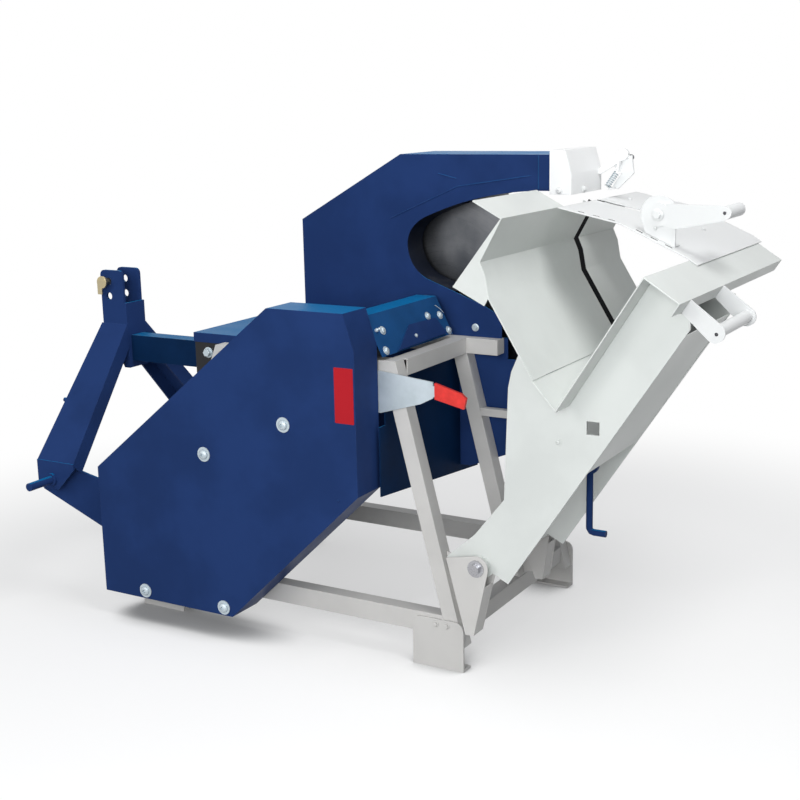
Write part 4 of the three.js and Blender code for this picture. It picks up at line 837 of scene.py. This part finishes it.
class SAW_OT_Drive(bpy.types.Operator):
    """Finish the gearbox, pulleys, belt, arbor, bearings and blade"""

    bl_idname = "saw.drive"
    bl_label = "Finish the drive and blade"

    def execute(self, context):
        finish_nodes([name for name in in_slots("cast_iron", "steel") if name != "saw_blade"])
        finish_nodes(["drive_belt"])
        finish_nodes(["saw_blade"], 0)
        return {"FINISHED"}


class SAW_OT_Cradle(bpy.types.Operator):
    """Finish the cradle, its cover, handles, latch and end box"""

    bl_idname = "saw.cradle"
    bl_label = "Finish the cradle"

    def execute(self, context):
        finish_nodes(in_slots("cradle_paint", "white_paint"))
        return {"FINISHED"}


class SAW_OT_Levers(bpy.types.Operator):
    """Finish the belt-tension lever, its red grip and the linch pin"""

    bl_idname = "saw.levers"
    bl_label = "Finish the levers"

    def execute(self, context):
        finish_nodes(["tension_lever", "tension_grip", "linch_pin"])
        return {"FINISHED"}


class SAW_OT_LatchSpring(bpy.types.Operator):
    """Wind the latch's coil spring in fine wire in place of the plain solid"""

    bl_idname = "saw.latch_spring"
    bl_label = "Wind the latch spring"

    def execute(self, context):
        """Path(s) = foot + axis * length * s + radius * (cos turn(s) * side + sin turn(s) * up)."""
        length = np.linalg.norm(SPRING_TOP - SPRING_FOOT)
        axis = (SPRING_TOP - SPRING_FOOT) / length
        side = np.array([0.0, 1.0, 0.0])
        up = np.cross(side, axis)
        share = np.linspace(0, 1, SPRING_TURNS * 28)[:, None]
        turn = share * SPRING_TURNS * 2 * np.pi
        path = (SPRING_FOOT + axis * length * share
                + SPRING_RADIUS * (side * np.cos(turn) + up * np.sin(turn)))
        piece = mesh_piece("latch_spring_wire", tube(path, SPRING_WIRE_RADIUS, 10), "frame",
                           "zinc_plate")
        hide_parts("latch_spring")
        return {"FINISHED"}


class SAW_OT_GuardTrim(bpy.types.Operator):
    """Button-headed bolts, the plain red plate and a rivet on the belt guard"""

    bl_idname = "saw.guard_trim"
    bl_label = "Trim the belt guard"

    def execute(self, context):
        mesh_piece("guard_bolts", repeated(button_bolt(NEAR, GUARD_BUTTON),
                                           on_face(GUARD_FACE, GUARD_BOLTS)),
                   "frame", "zinc_plate")
        front, back = (GUARD_FACE - depth for depth in GUARD_PLATE_DEPTHS)
        mesh_piece("guard_red_plate", slab(GUARD_PLATE, front, back, GUARD_PLATE_CORNER),
                   "frame", "label_red", False)
        mesh_piece("guard_rivet", repeated(turned(RIVET_PROFILE, NEAR, 20),
                                           on_face(GUARD_FACE, [GUARD_RIVET])),
                   "frame", "casing_blue")
        return {"FINISHED"}


class SAW_OT_HoodTrim(bpy.types.Operator):
    """Pressed creases, flange bolts and a painted highlight bead on the edge of the hood"""

    bl_idname = "saw.hood_trim"
    bl_label = "Trim the hood"

    def execute(self, context):
        mesh_piece("hood_creases", combined(*map(self.crease, HOOD_CREASES)), "frame",
                   "casing_blue")
        # Painted highlight: a bead in the console's lit blue along the hood's edge strip stands for
        # the light that edge catches
        edge = line(*on_face(HOOD_FACE - HOOD_HIGHLIGHT_DEPTH, HOOD_HIGHLIGHT), 12)
        mesh_piece("hood_strip_edge", tube(edge, HOOD_HIGHLIGHT_RADIUS), "frame", "console_blue")
        mesh_piece("hood_flange_bolts", repeated(hexagon_bolt(NEAR, HOOD_HEX),
                                                 on_face(HOOD_FACE, HOOD_BOLTS)),
                   "frame", "zinc_plate")
        return {"FINISHED"}

    def crease(self, corners):
        """A tube half sunk in the hood from corner to corner, thin at both ends."""
        points = on_face(HOOD_FACE, corners)
        steps = 24
        route = np.vstack([line(start, end, steps) for start, end in zip(points, points[1:])])
        doubled = np.arange(1, len(corners) - 1) * steps
        route = np.delete(route, doubled, axis=0)
        radius = np.full(len(route), HOOD_CREASE_RADIUS)
        radius[0] = radius[-1] = HOOD_CREASE_END_RADIUS
        return tube(route, radius)


class SAW_OT_ConsoleTrim(bpy.types.Operator):
    """Bolts, cover plate and grease nipple of the bearing console, and a zinc wire clip that stands
    in for a highlight along its far top edge
    """

    bl_idname = "saw.console_trim"
    bl_label = "Trim the bearing console"

    def execute(self, context):
        bolt = button_bolt(CONSOLE_NORMAL, CONSOLE_BUTTON)
        mesh_piece("console_bolts", repeated(bolt, [on_console(*spot) for spot in CONSOLE_BOLTS]),
                   "frame", "zinc_plate")
        foot = [on_console(y, z, CONSOLE_PLATE_GAP) for y, z, _ in CONSOLE_PLATE]
        rim = [on_console(*corner) for corner in CONSOLE_PLATE]
        mesh_piece("console_cover_plate",
                   (np.array([*foot, *rim]), [*grid_faces(2, 4), [3, 2, 1, 0], [4, 5, 6, 7]]),
                   "frame", "casing_blue", False)
        screw = button_bolt(CONSOLE_NORMAL, PLATE_BUTTON)
        mesh_piece("console_plate_screw", moved(screw, on_console(*CONSOLE_SCREW)),
                   "frame", "zinc_plate")
        nipple = turned(NIPPLE_PROFILE, CONSOLE_NORMAL, 24)
        mesh_piece("console_nipple", moved(nipple, on_console(*CONSOLE_NIPPLE)),
                   "frame", "zinc_plate")
        y, z, lift = CLIP_START
        clip = [on_console(y + CLIP_RUN[0] * t, z + CLIP_RUN[1] * t,
                           lift + CLIP_ARCH * math.sin(math.pi * t))
                for t in np.linspace(0, 1, 17)]
        mesh_piece("console_clip", tube(clip, CLIP_RADIUS), "frame", "zinc_plate")
        return {"FINISHED"}


class SAW_OT_EndBoxTrim(bpy.types.Operator):
    """Bolts of the end box, and the latch's two dark rollers and pivot nut"""

    bl_idname = "saw.end_box_trim"
    bl_label = "Trim the end box and latch"

    def execute(self, context):
        bolts = combined(moved(button_bolt(RIGHT, END_BUTTON), END_BOX_SIDE_BOLT),
                         moved(button_bolt(NEAR, END_BUTTON), END_BOX_FRONT_BOLT))
        mesh_piece("end_box_bolts", bolts, "frame", "cover_white")
        mesh_piece("latch_rollers", repeated(turned(ROLLER_PROFILE, FAR, 28), LATCH_ROLLERS),
                   "latch_hook", "dark_bolt")
        mesh_piece("latch_pivot_nut", moved(hexagon_bolt(FAR, LATCH_HEX), LATCH_NUT),
                   "frame", "zinc_plate")
        return {"FINISHED"}


class SAW_OT_FrameTrim(bpy.types.Operator):
    """Foot screws, the gearbox hanger's bolt and the peg on the hitch"""

    bl_idname = "saw.frame_trim"
    bl_label = "Trim the frame"

    def execute(self, context):
        screws = combined(
            repeated(hexagon_bolt(NEAR, FOOT_HEX), on_face(FOOT_NEAR, FOOT_SCREWS)),
            repeated(hexagon_bolt(FAR, FOOT_HEX), on_face(FOOT_FAR, FOOT_SCREWS)))
        mesh_piece("foot_screws", screws, "frame", "frame_grey")
        mesh_piece("hanger_bolt", moved(hexagon_bolt(NEAR, HANGER_HEX), HANGER_BOLT),
                   "frame", "zinc_plate")
        mesh_piece("hitch_peg", moved(turned(PEG_PROFILE, LEFT, 28), HITCH_PEG),
                   "frame", "casing_blue")
        return {"FINISHED"}


class SAW_OT_WeldBeads(bpy.types.Operator):
    """Weld beads where the frame's tubes and the cradle's plates meet"""

    bl_idname = "saw.weld_beads"
    bl_label = "Lay the weld beads"

    def execute(self, context):
        mesh_piece("frame_welds", combined(*self.leg_beads(TUBE_NEAR), *self.leg_beads(TUBE_FAR)),
                   "frame", "frame_grey")
        mesh_piece("cradle_welds", combined(*map(self.boss_bead, BOSS_WELD_FACES)),
                   "cradle", "cradle_grey")
        return {"FINISHED"}

    def leg_beads(self, y):
        """Beads up a right leg's edge at the foot, and along its top under the rail."""
        low, high, top = ((LEG_TOP[0] + LEG_RAKE * (LEG_TOP[1] - z), y, z)
                          for z in (*LEG_WELD, RAIL_WELD))
        return [bead(low, high, WELD_RADIUS, 12),
                bead((top[0] + 1, y, RAIL_WELD), (RAIL_WELD_END, y, RAIL_WELD), WELD_RADIUS, 9)]

    def boss_bead(self, y):
        """A ring about the cradle's pivot at y, whose radius swells in even waves."""
        ring = np.linspace(0, 2 * np.pi, 61)
        path = np.stack([PIVOT[0] + BOSS_WELD_RING * np.cos(ring), np.full(len(ring), y),
                         PIVOT[1] + BOSS_WELD_RING * np.sin(ring)], axis=1)
        return tube(path, BOSS_WELD_RADIUS + BOSS_WELD_SWELL * np.cos(ring * BOSS_WELD_WAVES))


class SAW_OT_CradleTrim(bpy.types.Operator):
    """Screws of the cradle's arm, cover and handles, and the hold-down lever's nut"""

    bl_idname = "saw.cradle_trim"
    bl_label = "Trim the cradle"

    def execute(self, context):
        mesh_piece("arm_screw", moved(button_bolt(NEAR, ARM_BUTTON), ARM_SCREW),
                   "cradle", "cradle_grey")
        bolts = [moved(hexagon_bolt(NEAR, HOLD_HEX), HOLD_NUT),
                 repeated(button_bolt(NEAR, BEARING_BUTTON), BEARING_SCREWS)]
        for spot in COVER_SCREWS:
            point, normal = on_cover(*spot)
            bolts.append(moved(button_bolt(normal, COVER_BUTTON), point))
        mesh_piece("cover_bolts", combined(*bolts), "cradle", "cover_white")
        # Painted shade: these small screw heads are near-black, standing for the dark of the holes
        # they sit in
        small = button_bolt(NEAR, SMALL_BUTTON)
        mesh_piece("loop_screw", moved(small, LOOP_SCREW), "cradle", "dark_bolt")
        mesh_piece("hold_screw", moved(small, HOLD_SCREW), "hold", "dark_bolt")
        return {"FINISHED"}


class SAW_OT_GearboxTrim(bpy.types.Operator):
    """Cover bolts and filler plug of the gearbox"""

    bl_idname = "saw.gearbox_trim"
    bl_label = "Trim the gearbox"

    def execute(self, context):
        reach = (-GEARBOX_BOLT_REACH, GEARBOX_BOLT_REACH)
        corners = [(across, DRIVE[1] + rise) for across in reach for rise in reach]
        left = DRIVE[0] - GEARBOX_HALF
        bolts = combined(
            repeated(hexagon_bolt(FAR, GEARBOX_HEX),
                     [(DRIVE[0] + across, GEARBOX_BACK, z) for across, z in corners]),
            repeated(hexagon_bolt(LEFT, GEARBOX_HEX),
                     [(left, GEARBOX_MIDDLE + across, z) for across, z in corners]))
        mesh_piece("gearbox_bolts", bolts, "frame", "zinc_plate")
        mesh_piece("gearbox_plug", repeated(hexagon_bolt(UP, PLUG_HEX),
                                            on_face(GEARBOX_MIDDLE, [GEARBOX_PLUG])),
                   "frame", "zinc_yellow")
        return {"FINISHED"}


# Studio


def white_seen(tree, strength):
    """A white emission; strength is a number or a socket."""
    emission = tree.nodes.new("ShaderNodeEmission")
    emission.inputs["Color"].default_value = WHITE
    feed(tree, emission.inputs["Strength"], strength)
    return emission.outputs["Emission"]


def seen_ray(tree):
    """1 for the camera's own rays and for those seen in metal or glass."""
    path = tree.nodes.new("ShaderNodeLightPath")
    bounced = math_node(tree, "MAXIMUM", path.outputs["Is Glossy Ray"],
                        path.outputs["Is Transmission Ray"])
    return math_node(tree, "MAXIMUM", path.outputs["Is Camera Ray"], bounced)


def mix_shader(tree, factor, first, second):
    node = tree.nodes.new("ShaderNodeMixShader")
    link(tree, factor, node.inputs["Fac"])
    link(tree, first, node.inputs[1])
    link(tree, second, node.inputs[2])
    return node.outputs["Shader"]


class SAW_OT_Stage(bpy.types.Operator):
    """Pale floor, soft studio light and the camera"""

    bl_idname = "saw.stage"
    bl_label = "Set the stage"

    def execute(self, context):
        scene = context.scene
        self.floor(scene)
        self.world(scene)
        self.lamps(scene)
        self.camera(scene)
        scene.view_settings.view_transform = "Standard"
        return {"FINISHED"}

    def floor(self, scene):
        corners = np.array([[-1, -1, 0], [1, -1, 0], [1, 1, 0], [-1, 1, 0]]) * FLOOR_HALF * MM
        mesh = bpy.data.meshes.new("floor")
        mesh.from_pydata(corners.tolist(), [], [[0, 1, 2, 3]])
        floor = bpy.data.objects.new("floor", mesh)
        scene.collection.objects.link(floor)
        floor.data.materials.append(self.floor_material(scene.saw_stage.floor_lift))

    def floor_material(self, floor_lift):
        """A plain floor for light, seen paler, with contact shade, and white far away."""
        material, tree, shader = shell_material("studio_floor")
        output = [n for n in tree.nodes if n.type == "OUTPUT_MATERIAL"][0]
        lit = output.inputs["Surface"].links[0].from_socket
        coordinates = own_place(tree)
        slow = ramp_node(tree, noise(tree, coordinates, 0.6, 2.0, 0.5), 0.3, 0.7)
        link(tree, mix_colour(tree, slow, *FLOOR_LIT), shader["Base Color"])
        shader["Roughness"].default_value = 0.9
        shader["Specular IOR Level"].default_value = 0.1
        pale = tree.nodes.new("ShaderNodeBsdfDiffuse")
        link(tree, mix_colour(tree, slow, *FLOOR_SEEN), pale.inputs["Color"])
        near = tree.nodes.new("ShaderNodeAmbientOcclusion")
        near.samples = CONTACT_SAMPLES
        near.inputs["Distance"].default_value = CONTACT_REACH
        contact = ramp_node(tree, near.outputs["AO"], 0.35, 0.78, 0.05, 1.0)
        away = ramp_node(tree, vector_node(tree, "LENGTH", coordinates), *FLOOR_WHITE)
        lifted = tree.nodes.new("ShaderNodeAddShader")
        link(tree, pale.outputs["BSDF"], lifted.inputs[0])
        lift = math_node(tree, "MULTIPLY", contact, floor_lift)
        link(tree, white_seen(tree, lift), lifted.inputs[1])
        faded = mix_shader(tree, away, lifted.outputs["Shader"], white_seen(tree, 1.0))
        link(tree, mix_shader(tree, seen_ray(tree), lit, faded), output.inputs["Surface"])
        return material

    def world(self, scene):
        """A dim, cool sky for light, seen as white."""
        world = bpy.data.worlds.new("studio")
        scene.world = world
        world.use_nodes = True
        tree = world.node_tree
        tree.nodes.clear()
        skies = []
        for colour, strength in ((SKY_TINT, scene.saw_stage.sky), (WHITE, 1.0)):
            sky = tree.nodes.new("ShaderNodeBackground")
            sky.inputs["Color"].default_value = colour
            sky.inputs["Strength"].default_value = strength
            skies.append(sky.outputs["Background"])
        output = tree.nodes.new("ShaderNodeOutputWorld")
        link(tree, mix_shader(tree, seen_ray(tree), *skies), output.inputs["Surface"])

    def lamps(self, scene):
        target = Vector(place(LAMP_TARGET))
        for name, spot, size, power, colour in SOFTBOXES:
            data = bpy.data.lights.new(name, "AREA")
            data.energy = getattr(scene.saw_stage, power)
            data.size = size * MM
            data.color = colour
            lamp = bpy.data.objects.new(name, data)
            scene.collection.objects.link(lamp)
            lamp.location = Vector(place(spot))
            lamp.rotation_mode = "QUATERNION"
            lamp.rotation_quaternion = (target - lamp.location).to_track_quat("-Z", "Y")

    def camera(self, scene):
        azimuth, down, roll = (math.radians(angle) for angle in CAMERA_TURN)
        forward = Vector((-math.sin(azimuth) * math.cos(down),
                          math.cos(azimuth) * math.cos(down), -math.sin(down)))
        level = Vector((math.cos(azimuth), math.sin(azimuth), 0.0))
        upright = level.cross(forward)
        right = level * math.cos(roll) + upright * math.sin(roll)
        up = -level * math.sin(roll) + upright * math.cos(roll)
        turn = Matrix((right, up, -forward)).transposed().to_4x4()
        data = bpy.data.cameras.new("photo_camera")
        data.lens = CAMERA_LENS
        data.sensor_width = CAMERA_FILM
        data.clip_end = CAMERA_SIGHT
        camera = bpy.data.objects.new("photo_camera", data)
        scene.collection.objects.link(camera)
        camera.matrix_world = Matrix.Translation(Vector(place(CAMERA_PLACE))) @ turn
        scene.camera = camera


# Colours and light levels that a user would change


def colour_property(name, description, default):
    return FloatVectorProperty(name=name, description=description, default=default, size=3,
                               min=0.0, max=1.0, subtype="COLOR")


def light_property(name, description, default):
    return FloatProperty(name=name, description=description, default=default, min=0.0)


class SawFinish(bpy.types.PropertyGroup):
    """Colours and roughness of the machine's finishes"""

    casing_blue: colour_property("Casing blue", "Paint of the hood, guard and hitch",
                                 (0.016, 0.039, 0.134))
    # Painted light: the lighter blue that upward casing faces take in place of light from above
    casing_top_light: colour_property("Casing top", "Paint of the casings where it looks up",
                                (0.003, 0.17, 0.42))
    frame_grey: colour_property("Frame grey", "Paint of the square-tube frame",
                                (0.56, 0.55, 0.535))
    cradle_grey: colour_property("Cradle grey", "Paint of the cradle", (0.665, 0.69, 0.67))
    cover_white: colour_property("Cover white", "Paint of the cover and handles",
                                 (0.75, 0.76, 0.76))
    label_red: colour_property("Plate red", "The plain plate on the guard", (0.42, 0.01, 0.018))
    grip_red: colour_property("Grip red", "The tension lever's sleeve", (0.62, 0.02, 0.014))
    gloss: FloatProperty(name="Casing roughness", description="Roughness of the blue paint",
                         default=0.33, min=0.05, max=1.0, subtype="FACTOR")


class SawStage(bpy.types.PropertyGroup):
    """Studio light levels"""

    key_power: light_property("Key", "Key softbox, in watts", 60.0)
    fill_power: light_property("Fill", "Fill softbox, in watts", 80.0)
    top_power: light_property("Top", "Overhead softbox, in watts", 60.0)
    sky: light_property("Sky", "World light on the object", 0.27)
    floor_lift: light_property("Floor lift", "Light added to the seen floor", 0.53)


OPERATORS = [SAW_OT_Materials, SAW_OT_Frame, SAW_OT_Casings, SAW_OT_Drive, SAW_OT_Cradle,
             SAW_OT_Levers, SAW_OT_LatchSpring, SAW_OT_GuardTrim, SAW_OT_HoodTrim,
             SAW_OT_ConsoleTrim, SAW_OT_EndBoxTrim, SAW_OT_FrameTrim, SAW_OT_WeldBeads,
             SAW_OT_CradleTrim, SAW_OT_GearboxTrim, SAW_OT_Stage]


class SAW_PT_Panel(bpy.types.Panel):
    """The saw's operators in the sidebar"""

    bl_idname = "SAW_PT_panel"
    bl_label = "Firewood saw"
    bl_space_type = "VIEW_3D"
    bl_region_type = "UI"
    bl_category = "Firewood saw"

    def draw(self, context):
        for group in (context.scene.saw_finish, context.scene.saw_stage):
            for key in group.__annotations__:
                self.layout.prop(group, key)
        for operator in OPERATORS:
            self.layout.operator(operator.bl_idname)


CLASSES = [SawFinish, SawStage, *OPERATORS, SAW_PT_Panel]


def register():
    for item in CLASSES:
        bpy.utils.register_class(item)
    bpy.types.Scene.saw_finish = PointerProperty(type=SawFinish)
    bpy.types.Scene.saw_stage = PointerProperty(type=SawStage)


def unregister():
    del bpy.types.Scene.saw_stage
    del bpy.types.Scene.saw_finish
    for item in reversed(CLASSES):
        bpy.utils.unregister_class(item)


def main():
    """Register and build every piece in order."""
    register()
    for operator in OPERATORS:
        group, call = operator.bl_idname.split(".")
        getattr(getattr(bpy.ops, group), call)()


if __name__ == "__main__":
    main()
